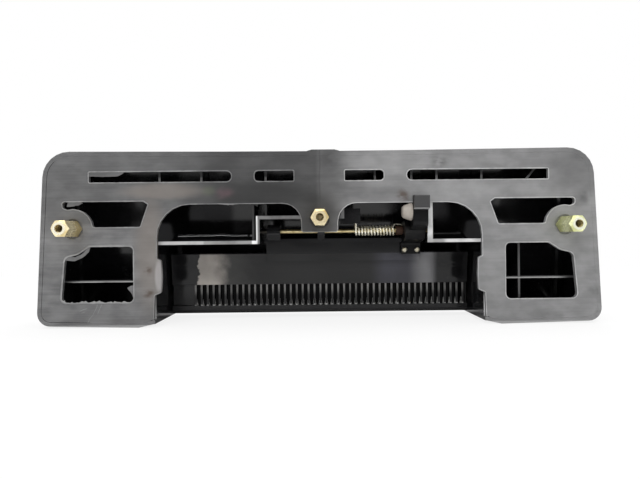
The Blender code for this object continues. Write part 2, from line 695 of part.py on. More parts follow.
def make_standoff(name, x, z, material):
    """Hexagonal spacer with a chamfered end, a threaded bore and a round shank in its boss."""
    base = STUD_RECESS_DEPTH - FIT_GAP
    corner_r = stud_corner_r()
    length = STUD_LENGTH + base
    stud = rod("standoff_" + name, (x, base, z), (x, -STUD_LENGTH, z), corner_r, PARTS, material, 6)
    tip_r = STUD_FLATS / 2 - STUD_CHAMFER
    top = length + STUD_CHAMFER
    wide_r = corner_r + STUD_CHAMFER
    chamfer = [(0, top), (tip_r - STUD_CHAMFER, top), (wide_r, top - (wide_r - tip_r + STUD_CHAMFER)),
               (wide_r, -OVERCUT), (0, -OVERCUT)]
    trim = turned("standoff_trim_" + name, chamfer, (x, base, z), (0, -1, 0), CUTTERS)
    boolean(stud, trim, "INTERSECT")
    shank_start = (x, base - STUD_CHAMFER, z)
    shank = rod("standoff_shank_" + name, shank_start, (x, base + STUD_SHANK_LENGTH, z), STUD_SHANK_R)
    boolean(stud, shank, "UNION")
    bore_start = (x, -STUD_LENGTH - OVERCUT, z)
    bore = rod("standoff_bore_" + name, bore_start, (x, STUD_BORE_DEPTH - STUD_LENGTH, z), STUD_BORE_R)
    boolean(stud, bore, "DIFFERENCE")
    return stud


# Paddle

def hung(obj):
    """Gives a swinging piece its origin on the hinge axis, with its place kept."""
    pivot = Vector((0, PIN_Y, PIN_Z))
    obj.data.transform(Matrix.Translation(-pivot))
    obj.location = pivot
    return obj


def paddle_section():
    front = PADDLE_GRIP_Y + GRIP_DEPTH + PADDLE_T
    floor = PADDLE_GRIP_Y + GRIP_DEPTH
    waist_z = (PADDLE_TOP_Z + GRIP_TOP_Z) / 2
    waist_y = (PADDLE_TOP_Y + PADDLE_GRIP_Y) / 2 + PADDLE_WAIST / 2
    return rounded([
        (PADDLE_TOP_Y, PADDLE_TOP_Z, PADDLE_EDGE_R),
        (waist_y, waist_z, PADDLE_WAIST_R),
        (PADDLE_GRIP_Y, GRIP_TOP_Z, GRIP_R),
        (floor, GRIP_TOP_Z, GRIP_R),
        (floor, GRIP_BOTTOM_Z, GRIP_R),
        (PADDLE_GRIP_Y, GRIP_BOTTOM_Z, GRIP_R),
        (PADDLE_GRIP_Y, PADDLE_BOTTOM_Z, PADDLE_FOOT_R[0]),
        (front, PADDLE_BOTTOM_Z, PADDLE_FOOT_R[1]),
        (front, GRIP_TOP_Z, PADDLE_BACK_R),
        (waist_y + PADDLE_T, waist_z, PADDLE_WAIST_R),
        (PADDLE_TOP_Y + PADDLE_T, PADDLE_TOP_Z, PADDLE_EDGE_R),
    ])


def lug_section():
    """Round eye on the pin, drawn down into the flange and the web."""
    foot = WEB_TOP_Z - WEB_T / 2
    return rounded([
        (PIN_Y - LUG_R, PIN_Z + LUG_R, LUG_R),
        (PIN_Y + LUG_R, PIN_Z + LUG_R, LUG_R),
        (WEB_BACK_Y, foot, LUG_HEEL_R),
        (FLANGE_BACK_Y - LUG_HEEL, foot, LUG_HEEL_R),
        (PIN_Y - LUG_R, PIN_Z - LUG_R / 2, LUG_HEEL),
    ])


def paddle_half_width():
    return POCKET_HALF_WIDTH - RUN_GAP


def comb():
    """The vertical finger ribs, as one object of separate bars."""
    bm = bmesh.new()
    low = GRIP_BOTTOM_Z - SEAM_LAP
    high = GRIP_TOP_Z + SEAM_LAP
    back = PADDLE_GRIP_Y + SEAM_LAP
    front = PADDLE_GRIP_Y + GRIP_DEPTH + SEAM_LAP
    size = (COMB_RIB_T, front - back, high - low, 1)
    right = paddle_half_width() - COMB_RIGHT_MARGIN
    span = right + paddle_half_width() - COMB_LEFT_MARGIN
    for index in range(round(span / COMB_PITCH) + 1):
        middle = Vector((right - index * COMB_PITCH, (back + front) / 2, (low + high) / 2))
        bmesh.ops.create_cube(bm, size=1.0, matrix=Matrix.Translation(middle) @ Matrix.Diagonal(size))
    mesh = bpy.data.meshes.new("comb")
    bm.to_mesh(mesh)
    bm.free()
    return finish_object(bpy.data.objects.new("comb", mesh), CUTTERS)


def make_paddle(material):
    half = paddle_half_width()
    paddle = extruded("paddle", [paddle_section()], -half, half, PARTS, material, SIDE_VIEW)
    left = BAY_LEFT_X + RUN_GAP
    right = BAY_RIGHT_X - RUN_GAP
    web_y = (WEB_BACK_Y, WEB_BACK_Y + PADDLE_T)
    web = block("paddle_web", (left, right), web_y, (PADDLE_TOP_Z - WEB_LAP, WEB_TOP_Z))
    boolean(paddle, web, "UNION")
    flange_y = (FLANGE_BACK_Y, WEB_BACK_Y + SEAM_LAP)
    flange_z = (WEB_TOP_Z - SEAM_LAP - WEB_T, WEB_TOP_Z - SEAM_LAP)
    flange = block("paddle_flange", (left, LEVER_LEFT_X - FIT_GAP), flange_y, flange_z)
    boolean(paddle, flange, "UNION")
    for name, (low, high) in (("left", LEFT_LUG_X), ("centre", CENTRE_LUG_X)):
        lug = extruded("lug_" + name, [lug_section()], low, high, CUTTERS, None, SIDE_VIEW)
        boolean(paddle, lug, "UNION")
    boolean(paddle, comb(), "UNION")
    bore_start = (LEFT_LUG_X[0] - OVERCUT, PIN_Y, PIN_Z)
    bore_end = (CENTRE_LUG_X[1] + OVERCUT, PIN_Y, PIN_Z)
    bore = rod("lug_bore", bore_start, bore_end, PIN_R + FIT_GAP)
    boolean(paddle, bore, "DIFFERENCE")
    for name, x in SCREWS_X:
        hole = rod("screw_hole_" + name, (x, WEB_BACK_Y - OVERCUT, SCREW_Z),
                   (x, PADDLE_TOP_Y + PADDLE_T + OVERCUT, SCREW_Z), SCREW_R + FIT_GAP)
        boolean(paddle, hole, "DIFFERENCE")
    return paddle


# Release lever

def lever_body_section():
    """Hub round the pin and the foot that is screwed to the paddle's web."""
    foot = WEB_BACK_Y - FIT_GAP
    hub = LEVER_HUB_R
    return rounded([
        (foot - LEVER_FOOT_T, LEVER_FOOT_BOTTOM_Z, LEVER_CORNER_R),
        (foot, LEVER_FOOT_BOTTOM_Z, LEVER_CORNER_R),
        (foot, PIN_Z - hub * LEVER_HEEL_SHARE, LEVER_HEEL_R),
        (PIN_Y + hub, PIN_Z + hub * LEVER_BACK_SHARE, LEVER_BACK_R),
        (PIN_Y - hub, PIN_Z + hub, LEVER_SHOULDER_R),
        (PIN_Y - 2 * hub, PIN_Z, LEVER_NOSE_R),
        (PIN_Y - hub, PIN_Z - hub, LEVER_CHIN_R),
        (foot - LEVER_FOOT_T, PIN_Z - hub * LEVER_CHIN_SHARE, LEVER_SHOULDER_R),
    ])


def lever_head_section():
    """Arm that reaches back through the frame and ends in the latch head."""
    head_front = -2 * FIT_GAP
    neck = -HEAD_NECK
    hub = LEVER_HUB_R
    return rounded([
        (PIN_Y + hub * LEVER_BACK_SHARE, PIN_Z + hub / 2, LEVER_SHOULDER_R),
        (PIN_Y - hub / 2, LEVER_TOP_Z, HEAD_CREST_R),
        (head_front, LEVER_TOP_Z, LEVER_CORNER_R),
        (head_front, HEAD_TOP_Z, LEVER_CORNER_R),
        (-HEAD_PROUD, HEAD_TOP_Z, HEAD_LIP_R),
        (-HEAD_PROUD, HEAD_BOTTOM_Z, HEAD_EDGE_R),
        (neck, HEAD_BOTTOM_Z - HEAD_NECK_DROP, HEAD_EDGE_R),
        (neck, PIN_Z + hub / 2, HEAD_CREST_R),
        (PIN_Y - hub * HEAD_ARM_SHARE, PIN_Z, LEVER_SHOULDER_R),
        (PIN_Y, PIN_Z - hub / 2, LEVER_SHOULDER_R),
    ])


def make_lever(material):
    left = LEVER_LEFT_X
    right = LEVER_RIGHT_X
    lever = extruded("release_lever", [lever_body_section()], left, right, PARTS, material, SIDE_VIEW)
    head_right = right - SEAM_LAP
    head_section = [lever_head_section()]
    head = extruded("lever_head", head_section, LEVER_HEAD_X, head_right, CUTTERS, None, SIDE_VIEW)
    boolean(lever, head, "UNION")
    bore_end = (right + OVERCUT, PIN_Y, PIN_Z)
    bore = rod("lever_bore", (left - OVERCUT, PIN_Y, PIN_Z), bore_end, BUSH_R + FIT_GAP)
    boolean(lever, bore, "DIFFERENCE")
    clip_end = (LEVER_HEAD_X + CLIP_STEM_LENGTH + FIT_GAP, CLIP_Y, CLIP_Z)
    clip_start = (LEVER_HEAD_X - OVERCUT, CLIP_Y, CLIP_Z)
    clip_hole = rod("clip_hole", clip_start, clip_end, CLIP_STEM_R + FIT_GAP)
    boolean(lever, clip_hole, "DIFFERENCE")
    hook_start = (left - OVERCUT, SPRING_HOOK_Y, SPRING_HOOK_Z)
    hook_end = (left + SPRING_HOOK_DEPTH + FIT_GAP, SPRING_HOOK_Y, SPRING_HOOK_Z)
    boolean(lever, rod("hook_hole", hook_start, hook_end, SPRING_WIRE_R + FIT_GAP), "DIFFERENCE")
    for name, x in SCREWS_X:
        hole = rod("foot_hole_" + name, (x, WEB_BACK_Y - LEVER_FOOT_T - OVERCUT, SCREW_Z),
                   (x, WEB_BACK_Y + OVERCUT, SCREW_Z), SCREW_R + FIT_GAP)
        boolean(lever, hole, "DIFFERENCE")
    return lever


def make_screw(name, x, material):
    """Pan head screw that holds the lever's foot to the paddle."""
    head_y = WEB_BACK_Y - FIT_GAP - LEVER_FOOT_T - FIT_GAP
    length = LEVER_FOOT_T + PADDLE_T
    crown = SCREW_HEAD_T / 2
    profile = [(0, SCREW_HEAD_T), (SCREW_HEAD_R - crown, SCREW_HEAD_T), (SCREW_HEAD_R, crown),
               (SCREW_HEAD_R, 0), (SCREW_R, 0), (SCREW_R, -length), (0, -length - SCREW_R)]
    seat = (x, head_y, SCREW_Z)
    return turned("lever_screw_" + name, profile, seat, (0, -1, 0), PARTS, material, 16)


def make_clip(material):
    """Nylon swivel clip that takes the latch rod."""
    profile = [(0, CLIP_LENGTH), (CLIP_TIP_R - CLIP_EDGE, CLIP_LENGTH),
               (CLIP_TIP_R, CLIP_LENGTH - CLIP_EDGE), (CLIP_R, CLIP_EDGE), (CLIP_R, 0),
               (CLIP_STEM_R, 0), (CLIP_STEM_R, -CLIP_STEM_LENGTH), (0, -CLIP_STEM_LENGTH)]
    seat = (LEVER_HEAD_X - FIT_GAP, CLIP_Y, CLIP_Z)
    return turned("rod_clip", profile, seat, (-1, 0, 0), PARTS, material)


def make_bush(material):
    """Collared bush on which the lever turns."""
    left = LEVER_LEFT_X - FIT_GAP
    bore = PIN_R + FIT_GAP
    profile = [(bore, BUSH_COLLAR_LENGTH), (BUSH_COLLAR_R, BUSH_COLLAR_LENGTH), (BUSH_COLLAR_R, 0),
               (BUSH_R, 0), (BUSH_R, -LEVER_WIDTH), (bore, -LEVER_WIDTH)]
    return turned("pivot_bush", profile, (left, PIN_Y, PIN_Z), (-1, 0, 0), PARTS, material)


def make_pin(material):
    left = BAY_LEFT_X - WALL_T
    right = BAY_RIGHT_X + WALL_T
    length = right - left
    end = PIN_R - FIT_GAP
    profile = [(0, length), (end, length), (PIN_R, length - FIT_GAP), (PIN_R, FIT_GAP), (end, 0), (0, 0)]
    return turned("hinge_pin", profile, (left, PIN_Y, PIN_Z), (1, 0, 0), PARTS, material)


def spring_points():
    """Fixed leg, coil and hook of the torsion spring, as one wire."""
    coil_end = LEVER_LEFT_X - 2 * FIT_GAP - BUSH_COLLAR_LENGTH - SPRING_WIRE_R
    turns = math.floor((coil_end - SPRING_START_X) / SPRING_PITCH - 0.5 + FIT_GAP)
    half_turns = 2 * turns + 1
    steps = SPRING_POINTS_PER_TURN * half_turns // 2
    points = [(SPRING_START_X, PIN_Y - SPRING_R, PIN_Z + SPRING_LEG)]
    for step in range(steps + 1):
        angle = math.pi + math.pi * half_turns * step / steps
        x = SPRING_START_X + SPRING_PITCH * half_turns / 2 * step / steps
        points.append((x, PIN_Y + SPRING_R * math.cos(angle), PIN_Z + SPRING_R * math.sin(angle)))
    end_x = points[-1][0]
    bend = 2 * SPRING_WIRE_R
    ease = bend * (1 - math.cos(math.pi / 4))
    points.append((end_x, SPRING_HOOK_Y, SPRING_HOOK_Z - bend))
    points.append((end_x + ease, SPRING_HOOK_Y, SPRING_HOOK_Z - ease))
    points.append((end_x + bend, SPRING_HOOK_Y, SPRING_HOOK_Z))
    points.append((LEVER_LEFT_X + SPRING_HOOK_DEPTH, SPRING_HOOK_Y, SPRING_HOOK_Z))
    return points


def make_spring(material):
    curve = bpy.data.curves.new("return_spring", "CURVE")
    curve.dimensions = "3D"
    curve.bevel_depth = SPRING_WIRE_R
    curve.bevel_resolution = 2
    curve.use_fill_caps = True
    places = spring_points()
    spline = curve.splines.new("POLY")
    spline.points.add(len(places) - 1)
    for point, place in zip(spline.points, places):
        point.co = (*place, 1.0)
    mesh = mesh_from_curve("return_spring", curve, Matrix.Identity(4))
    return finish_object(bpy.data.objects.new("return_spring", mesh), PARTS, material)


def build():
    gloss_black = make_material("gloss_black_plastic", (0.012, 0.012, 0.013), 0.22)
    frame_grey = make_material("sanded_black_plastic", (0.150, 0.150, 0.155), 0.55)
    lever_black = make_material("satin_black_plastic", (0.018, 0.018, 0.019), 0.42)
    yellow_zinc = make_material("yellow_zinc_steel", (0.72, 0.58, 0.30), 0.28, 1.0)
    spring_steel = make_material("gold_spring_steel", (0.80, 0.72, 0.46), 0.24, 1.0)
    nylon = make_material("cream_nylon", (0.43, 0.37, 0.32), 0.55)
    brown_nylon = make_material("brown_nylon", (0.16, 0.09, 0.05), 0.45)
    smooth(make_cover(gloss_black))
    smooth(make_frame(frame_grey))
    for name, x, z in studs():
        smooth(make_standoff(name, x, z, yellow_zinc), 20)
    smooth(make_pin(yellow_zinc))
    paddle = make_paddle(gloss_black)
    lever = make_lever(lever_black)
    smooth(hung(paddle))
    smooth(hung(lever))
    for name, x in SCREWS_X:
        smooth(make_screw(name, x, yellow_zinc))
    smooth(make_clip(nylon))
    smooth(make_bush(brown_nylon))
    smooth(make_spring(spring_steel))


build()
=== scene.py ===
"""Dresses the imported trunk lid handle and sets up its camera, floor and light."""

import math

import bmesh
import bpy
from mathutils import Matrix, Vector, noise


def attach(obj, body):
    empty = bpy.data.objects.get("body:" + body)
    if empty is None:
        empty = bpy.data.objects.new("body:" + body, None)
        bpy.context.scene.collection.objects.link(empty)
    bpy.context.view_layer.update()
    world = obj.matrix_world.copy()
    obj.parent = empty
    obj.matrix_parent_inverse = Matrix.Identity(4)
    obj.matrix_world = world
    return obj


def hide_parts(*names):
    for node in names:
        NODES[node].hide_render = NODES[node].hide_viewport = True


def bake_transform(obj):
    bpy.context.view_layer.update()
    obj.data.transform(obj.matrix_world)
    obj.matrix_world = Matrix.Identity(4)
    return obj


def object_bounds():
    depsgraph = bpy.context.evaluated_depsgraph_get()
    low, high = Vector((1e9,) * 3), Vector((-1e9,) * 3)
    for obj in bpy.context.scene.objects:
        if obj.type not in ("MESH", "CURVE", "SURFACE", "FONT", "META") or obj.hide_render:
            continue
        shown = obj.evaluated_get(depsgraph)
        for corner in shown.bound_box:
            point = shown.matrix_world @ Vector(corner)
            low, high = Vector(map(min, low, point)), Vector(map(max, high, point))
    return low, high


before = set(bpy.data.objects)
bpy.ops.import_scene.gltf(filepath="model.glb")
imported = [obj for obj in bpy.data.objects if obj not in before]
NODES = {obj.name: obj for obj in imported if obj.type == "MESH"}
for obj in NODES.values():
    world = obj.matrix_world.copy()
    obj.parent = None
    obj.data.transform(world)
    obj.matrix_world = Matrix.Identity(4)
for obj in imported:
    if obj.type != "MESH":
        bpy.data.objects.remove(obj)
CAD_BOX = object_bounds()

MM = 0.001

# Camera, fitted to the photograph
IMAGE_WIDTH = 640
FOCAL_PX = 504.4
SENSOR = 36.0
EYE = Vector((-2.3, -327.9, -28.0)) * MM
YAW = math.radians(-0.42)
PITCH = math.radians(-0.06)
ROLL = math.radians(0.58)

# Floor and light
FLOOR_Z = CAD_BOX[0][2]
FLOOR_SIZE = 12.0
FLOOR_FADE = (0.30, 0.75)
FLOOR_GLOW = 0.84
WORLD_LEVEL = 0.55
ROOM_DARK = 0.05
ROOM_LEVEL = 0.95
ROOM_CONE = (0.94, 0.76)

# Tones of the sanded face
SANDED_DARK = (0.105, 0.105, 0.107)
SANDED_PALE = (0.185, 0.185, 0.188)
BURR_PALE = (0.58, 0.58, 0.58)

# Paler, darker and smudged places on the sanded face: centre and half sizes in mm, and share or level
PALE_FIELDS = (
    ((40, 0, 22), (34, 30, 12), 0.26),
    ((92, 0, 1), (34, 30, 12), 0.34),
    ((146, 0, -16), (44, 30, 50), 0.06),
)
DARK_FIELDS = (
    ((-34, 0, 1), (44, 30, 14), 0.42),
    ((0, 0, -14), (17, 30, 26), 0.55),
    ((38, 0, 1), (26, 30, 9), 0.75),
    ((172, 0, 18), (34, 30, 26), 0.66),
)
SMUDGED_CORNER = ((166, 0, 14), (40, 20, 30))
SMUDGED_PLACES = (((-150, 0, 12), (26, 10, 20)), ((160, 0, -70), (36, 10, 20)))
# Painted highlight spots on the moulding's inner skin: centre and half sizes in mm
HIGHLIGHT_SPOTS = (((-142, 44, -49), (8, 14, 8)), ((-128, 22, -50), (7, 22, 9)), ((142, 44, -68), (4, 14, 6)))
DARK_MARKS = (((78.5, 0, 22.5), (8.5, 20, 8.0)), ((7, 0, 24), (9.5, 20, 10)))

# Stains and brownish patches on the sanded face: centre, half sizes in mm and softness
WARM_STAINS = (((-110, 0, -36), (14, 10, 52), 0.7), ((-102, 0, 4), (34, 10, 7), 0.6))
RED_STAIN = ((-61.5, 0, 2.0), (8.5, 8, 6.5), 0.9)
GREEN_STAIN = ((-72, 0, 4.0), (6.5, 8, 5.0), 0.8)
BROWN_PATCHES = (
    ((-112, 0, -47), (4.2, 8, 5.0), 0.7),
    ((-112, 0, -62), (5.5, 8, 4.0), 0.7),
    # a brownish patch just left of the lever head
    ((54.5, 0, -1.0), (6.0, 8, 7.0), 0.8),
)
RUBBED_TAB = ((-104.5, 0, -51), (3.6, 8, 13), 0.5)

# Stretches of the walls' rear edges, in mm along X, with the dull and pale tones of their wear and painted
# highlight
WALL_HIGHLIGHT_AND_WEAR = (
    ((-110.0, -76.0), 0.16, 0.46),
    ((-76.0, -45.0), 0.10, 0.30),
    ((-44.2, -41.5), 0.45, 0.86),
    ((-40.5, 28.0), 0.05, 0.16),
    ((70.5, 74.6), 0.22, 0.66),
)

# Places on the handle, in mm
WALL_REAR_Y = 3.3
RIB_REAR_Y = 11.0
RIM_Y = 0.6
SLOT_Z = (8.5, 18.0)
WINDOW_RIB_Z = -55.4
POCKET_DEEP_Z = (-48.0, 4.0)
POCKET_DEEP_Y = (33.0, 50.0)
CEILING_TOP_Z = -28.7
STUD_END_Y = -18.2
REFLECTION_PATCH_Z = (-59.5, -39.0)
COMB_Z = (-75.1, -60.1)
COMB_REAR_Y = 33.7
COMB_FLOOR_Y = 36.2


class Look:
    """A Principled material, with short calls for the nodes that vary it."""

    def __init__(self, name, colour, roughness, metallic=0.0):
        self.material = bpy.data.materials.new(name)
        self.material.use_nodes = True
        self.tree = self.material.node_tree
        self.shader = self.tree.nodes["Principled BSDF"]
        self.shader.inputs["Base Color"].default_value = (*colour, 1.0)
        self.shader.inputs["Roughness"].default_value = roughness
        self.shader.inputs["Metallic"].default_value = metallic
        coordinates = self.add("ShaderNodeTexCoord")
        self.place = coordinates.outputs["Object"]
        self.facing = coordinates.outputs["Normal"]

    def add(self, kind):
        return self.tree.nodes.new(kind)

    def feed(self, socket, value):
        """Links an output to a socket, or sets a plain value on it."""
        if isinstance(value, bpy.types.NodeSocket):
            self.tree.links.new(value, socket)
        elif isinstance(value, tuple) and len(value) == 3 and socket.type == "RGBA":
            socket.default_value = (*value, 1.0)
        else:
            socket.default_value = value

    def set(self, name, value):
        self.feed(self.shader.inputs[name], value)

    def maths(self, operation, a, b=0.0):
        made = self.add("ShaderNodeMath")
        made.operation = operation
        self.feed(made.inputs[0], a)
        self.feed(made.inputs[1], b)
        return made.outputs[0]

    def times(self, a, b):
        return self.maths("MULTIPLY", a, b)

    def noise(self, scale, detail=3.0, stretch=(1.0, 1.0, 1.0), shift=(0.0, 0.0, 0.0)):
        """Noise from 0 to 1; a stretch below 1 draws it out along that axis."""
        mapping = self.add("ShaderNodeMapping")
        mapping.inputs["Scale"].default_value = stretch
        mapping.inputs["Location"].default_value = shift
        self.feed(mapping.inputs["Vector"], self.place)
        made = self.add("ShaderNodeTexNoise")
        made.inputs["Scale"].default_value = scale
        made.inputs["Detail"].default_value = detail
        self.feed(made.inputs["Vector"], mapping.outputs[0])
        return made.outputs[0]

    def ramp(self, value, start, end, low=0.0, high=1.0):
        """Takes a value from start..end smoothly to low..high."""
        made = self.add("ShaderNodeMapRange")
        made.interpolation_type = "SMOOTHSTEP"
        self.feed(made.inputs["Value"], value)
        made.inputs["From Min"].default_value = start
        made.inputs["From Max"].default_value = end
        made.inputs["To Min"].default_value = low
        made.inputs["To Max"].default_value = high
        return made.outputs[0]

    def blend(self, factor, a, b):
        made = self.add("ShaderNodeMix")
        made.data_type = "RGBA"
        self.feed(made.inputs[0], factor)
        self.feed(made.inputs[6], a)
        self.feed(made.inputs[7], b)
        return made.outputs[2]

    def dim(self, factor, colour, level):
        """Multiplies a colour by a level where the factor is 1."""
        made = self.add("ShaderNodeMix")
        made.data_type = "RGBA"
        made.blend_type = "MULTIPLY"
        self.feed(made.inputs[0], factor)
        self.feed(made.inputs[6], colour)
        self.feed(made.inputs[7], (level, level, level))
        return made.outputs[2]

    def number(self, factor, a, b):
        """Blends two numbers by a factor."""
        made = self.add("ShaderNodeMix")
        self.feed(made.inputs[0], factor)
        self.feed(made.inputs[2], a)
        self.feed(made.inputs[3], b)
        return made.outputs[0]

    def axis(self, index, source=None):
        made = self.add("ShaderNodeSeparateXYZ")
        self.feed(made.inputs[0], source or self.place)
        return made.outputs[index]

    def band(self, index, start, end, soft, level=1.0):
        """A level between two places in mm on an axis, fading to 0 over a soft width outside them."""
        value = self.axis(index)
        rise = self.ramp(value, (start - soft) * MM, start * MM, 0.0, level)
        fall = self.ramp(value, end * MM, (end + soft) * MM, 1.0, 0.0)
        return self.times(rise, fall)

    def rear_face(self, y):
        """1 on faces that look to the rear at a depth in mm."""
        facing = self.ramp(self.axis(1, self.facing), -0.6, -0.9)
        return self.times(self.band(1, y - 0.12, y + 0.12, 0.1), facing)

    def spot(self, centre, size, soft=0.5):
        """1 inside an ellipsoid in mm, fading to 0 at its edge."""
        mapping = self.add("ShaderNodeMapping")
        mapping.vector_type = "TEXTURE"
        mapping.inputs["Location"].default_value = Vector(centre) * MM
        mapping.inputs["Scale"].default_value = Vector(size) * MM
        self.feed(mapping.inputs["Vector"], self.place)
        length = self.add("ShaderNodeVectorMath")
        length.operation = "LENGTH"
        self.feed(length.inputs[0], mapping.outputs[0])
        return self.ramp(length.outputs["Value"], 1.0 - soft, 1.0, 1.0, 0.0)

    def spots(self, places):
        """The strongest of several spots, each with its own softness."""
        made = self.spot(*places[0])
        for place in places[1:]:
            made = self.maths("MAXIMUM", made, self.spot(*place))
        return made

    def fed(self, name):
        """The output that feeds a socket of the shader."""
        return self.shader.inputs[name].links[0].from_socket

    def bump(self, height, distance_mm, strength=1.0):
        made = self.add("ShaderNodeBump")
        made.inputs["Distance"].default_value = distance_mm * MM
        made.inputs["Strength"].default_value = strength
        self.feed(made.inputs["Height"], height)
        self.feed(self.shader.inputs["Normal"], made.outputs[0])


def sanding_marks(look):
    """Height of the sander's scratches, streaks and clouds, and its finest part."""
    fine = look.noise(900.0, 4.0, (0.035, 1.0, 1.0))
    broad = look.noise(230.0, 4.0, (0.06, 1.0, 0.8), (0.3, 0.0, 0.1))
    cloud = look.noise(22.0, 4.0, (0.6, 1.0, 1.0), (0.0, 0.0, 0.4))
    height = look.maths("ADD", look.times(fine, 0.40), look.times(broad, 0.30))
    height = look.maths("ADD", height, look.times(cloud, 0.45))
    return height, fine


def sanded_fields(look, tone):
    """Broad fields of the sanded face: darker left of the middle, pale right of it."""
    across = look.axis(0)
    pale_side = look.ramp(across, 0.012, 0.050)
    tone = look.blend(look.times(pale_side, 0.36), tone, (0.36, 0.36, 0.362))
    for centre, size, share in PALE_FIELDS:
        tone = look.blend(look.times(look.spot(centre, size, 0.75), share), tone, (0.38, 0.38, 0.382))
    top = look.times(look.ramp(across, -0.040, -0.070), look.ramp(look.axis(2), -0.026, -0.004))
    tone = look.blend(look.times(top, 0.42), tone, (0.050, 0.050, 0.051))
    left = look.times(look.ramp(across, -0.100, -0.058), look.ramp(across, -0.003, 0.003, 1.0, 0.0))
    tone = look.dim(left, tone, 0.37)
    right = look.times(look.ramp(across, -0.003, 0.003), look.ramp(across, 0.006, 0.024, 1.0, 0.0))
    tone = look.blend(look.times(right, 0.62), tone, (0.070, 0.070, 0.071))
    for centre, size, level in DARK_FIELDS:
        tone = look.dim(look.spot(centre, size, 0.7), tone, level)
    return tone


def knit_line(look, tone):
    """Dark, slightly wandering line down the middle, where the plastic flowed together."""
    drift = look.maths("SUBTRACT", look.noise(60.0, 2.0, (1.0, 1.0, 1.0), (0.5, 0.1, 0.2)), 0.5)
    place = look.maths("ADD", look.maths("SUBTRACT", look.axis(0), 0.0003), look.times(drift, 0.0016))
    width = look.ramp(look.maths("ABSOLUTE", place), 0.0002, 0.0008, 1.0, 0.0)
    line = look.times(width, look.ramp(look.axis(2), -0.016, 0.004))
    return look.blend(look.times(line, 0.38), tone, (0.030, 0.030, 0.030))


def smudges(look, tone, broken):
    """Dark smudges and broken marks."""
    cloudy = look.ramp(look.noise(48.0, 3.0, (1.0, 1.0, 1.0), (0.2, 0.0, 0.7)), 0.56, 0.74)
    strength = look.times(look.spot(*SMUDGED_CORNER, 0.5), cloudy)
    for centre, size in SMUDGED_PLACES:
        strength = look.maths("MAXIMUM", strength, look.times(look.spot(centre, size, 0.6), cloudy))
    for centre, size in DARK_MARKS:
        strength = look.maths("MAXIMUM", strength, look.times(look.spot(centre, size, 0.9), broken))
    return look.blend(look.times(strength, 0.62), tone, (0.050, 0.050, 0.051))


def stains(look, tone, patch, broken):
    """Warm, red and green stains, brownish patches, and the tab that was rubbed pale."""
    tone = look.blend(look.times(look.spots(WARM_STAINS), 0.55), tone, (0.205, 0.180, 0.160))
    red = look.times(look.spot(*RED_STAIN), patch)
    tone = look.blend(look.times(red, 0.50), tone, (0.130, 0.070, 0.085))
    tone = look.blend(look.times(look.spot(*GREEN_STAIN), 0.30), tone, (0.110, 0.130, 0.080))
    brown = look.times(look.spots(BROWN_PATCHES), broken)
    tone = look.blend(look.times(brown, 0.85), tone, (0.075, 0.052, 0.040))
    return look.blend(look.times(look.spot(*RUBBED_TAB), 0.55), tone, (0.40, 0.385, 0.39))


def sanded_tone(look):
    """Colour, scratch height and finest scratches of the sanded face."""
    height, fine = sanding_marks(look)
    patch = look.ramp(look.noise(95.0, 5.0, (0.7, 1.0, 1.2), (0.8, 0.2, 0.0)), 0.34, 0.68)
    broken = look.ramp(look.noise(170.0, 4.0, (0.7, 1.0, 1.3), (0.4, 0.6, 0.1)), 0.36, 0.60)
    tone = look.blend(look.ramp(height, 0.40, 0.78), SANDED_DARK, SANDED_PALE)
    tone = look.blend(look.times(patch, 0.22), tone, (0.30, 0.30, 0.30))
    tone = knit_line(look, sanded_fields(look, tone))
    tone = smudges(look, tone, broken)
    tone = look.blend(look.times(look.maths("SUBTRACT", 1.0, patch), 0.16), tone, (0.03, 0.03, 0.03))
    return stains(look, tone, patch, broken), height, fine


def sanded_black():
    """Black plastic sanded flat, with fine scratches along X."""
    look = Look("sanded_black", (0.15, 0.15, 0.155), 0.55)
    tone, height, fine = sanded_tone(look)
    look.set("Base Color", tone)
    look.set("Roughness", look.ramp(fine, 0.25, 0.75, 0.50, 0.68))
    look.shader.inputs["Specular IOR Level"].default_value = 0.4
    look.bump(height, 0.05, 0.6)
    return look


def burr_plastic():
    """The same plastic where a cut or torn edge has gone pale."""
    look = Look("burr_plastic", BURR_PALE, 0.6)
    tone, _, _ = sanded_tone(look)
    grain = look.noise(700.0, 3.0)
    pale = look.ramp(look.noise(60.0, 3.0), 0.35, 0.65, 0.45, 0.85)
    near = look.times(look.band(0, -75, 0, 14.0), 0.72)
    duller = look.maths("MAXIMUM", near, look.band(0, -190, -75, 8.0, 0.50))
    colour = look.blend(pale, tone, BURR_PALE)
    colour = look.blend(duller, colour, (0.085, 0.085, 0.086))
    look.set("Base Color", colour)
    look.set("Roughness", look.ramp(grain, 0.3, 0.7, 0.42, 0.66))
    look.bump(grain, 0.04, 0.6)
    return look


def gloss_colour(look, base=(0.0085, 0.0085, 0.0092), dust=(0.055, 0.053, 0.051)):
    """Colour and roughness of the glossy moulding: faint haze and dust on black."""
    haze = look.ramp(look.noise(38.0, 5.0), 0.42, 0.72)
    specks = look.ramp(look.noise(900.0, 2.0), 0.69, 0.78)
    colour = look.blend(look.times(specks, 0.30), base, dust)
    rough = look.maths("ADD", look.ramp(haze, 0.0, 1.0, 0.11, 0.24), look.times(specks, 0.15))
    return colour, rough


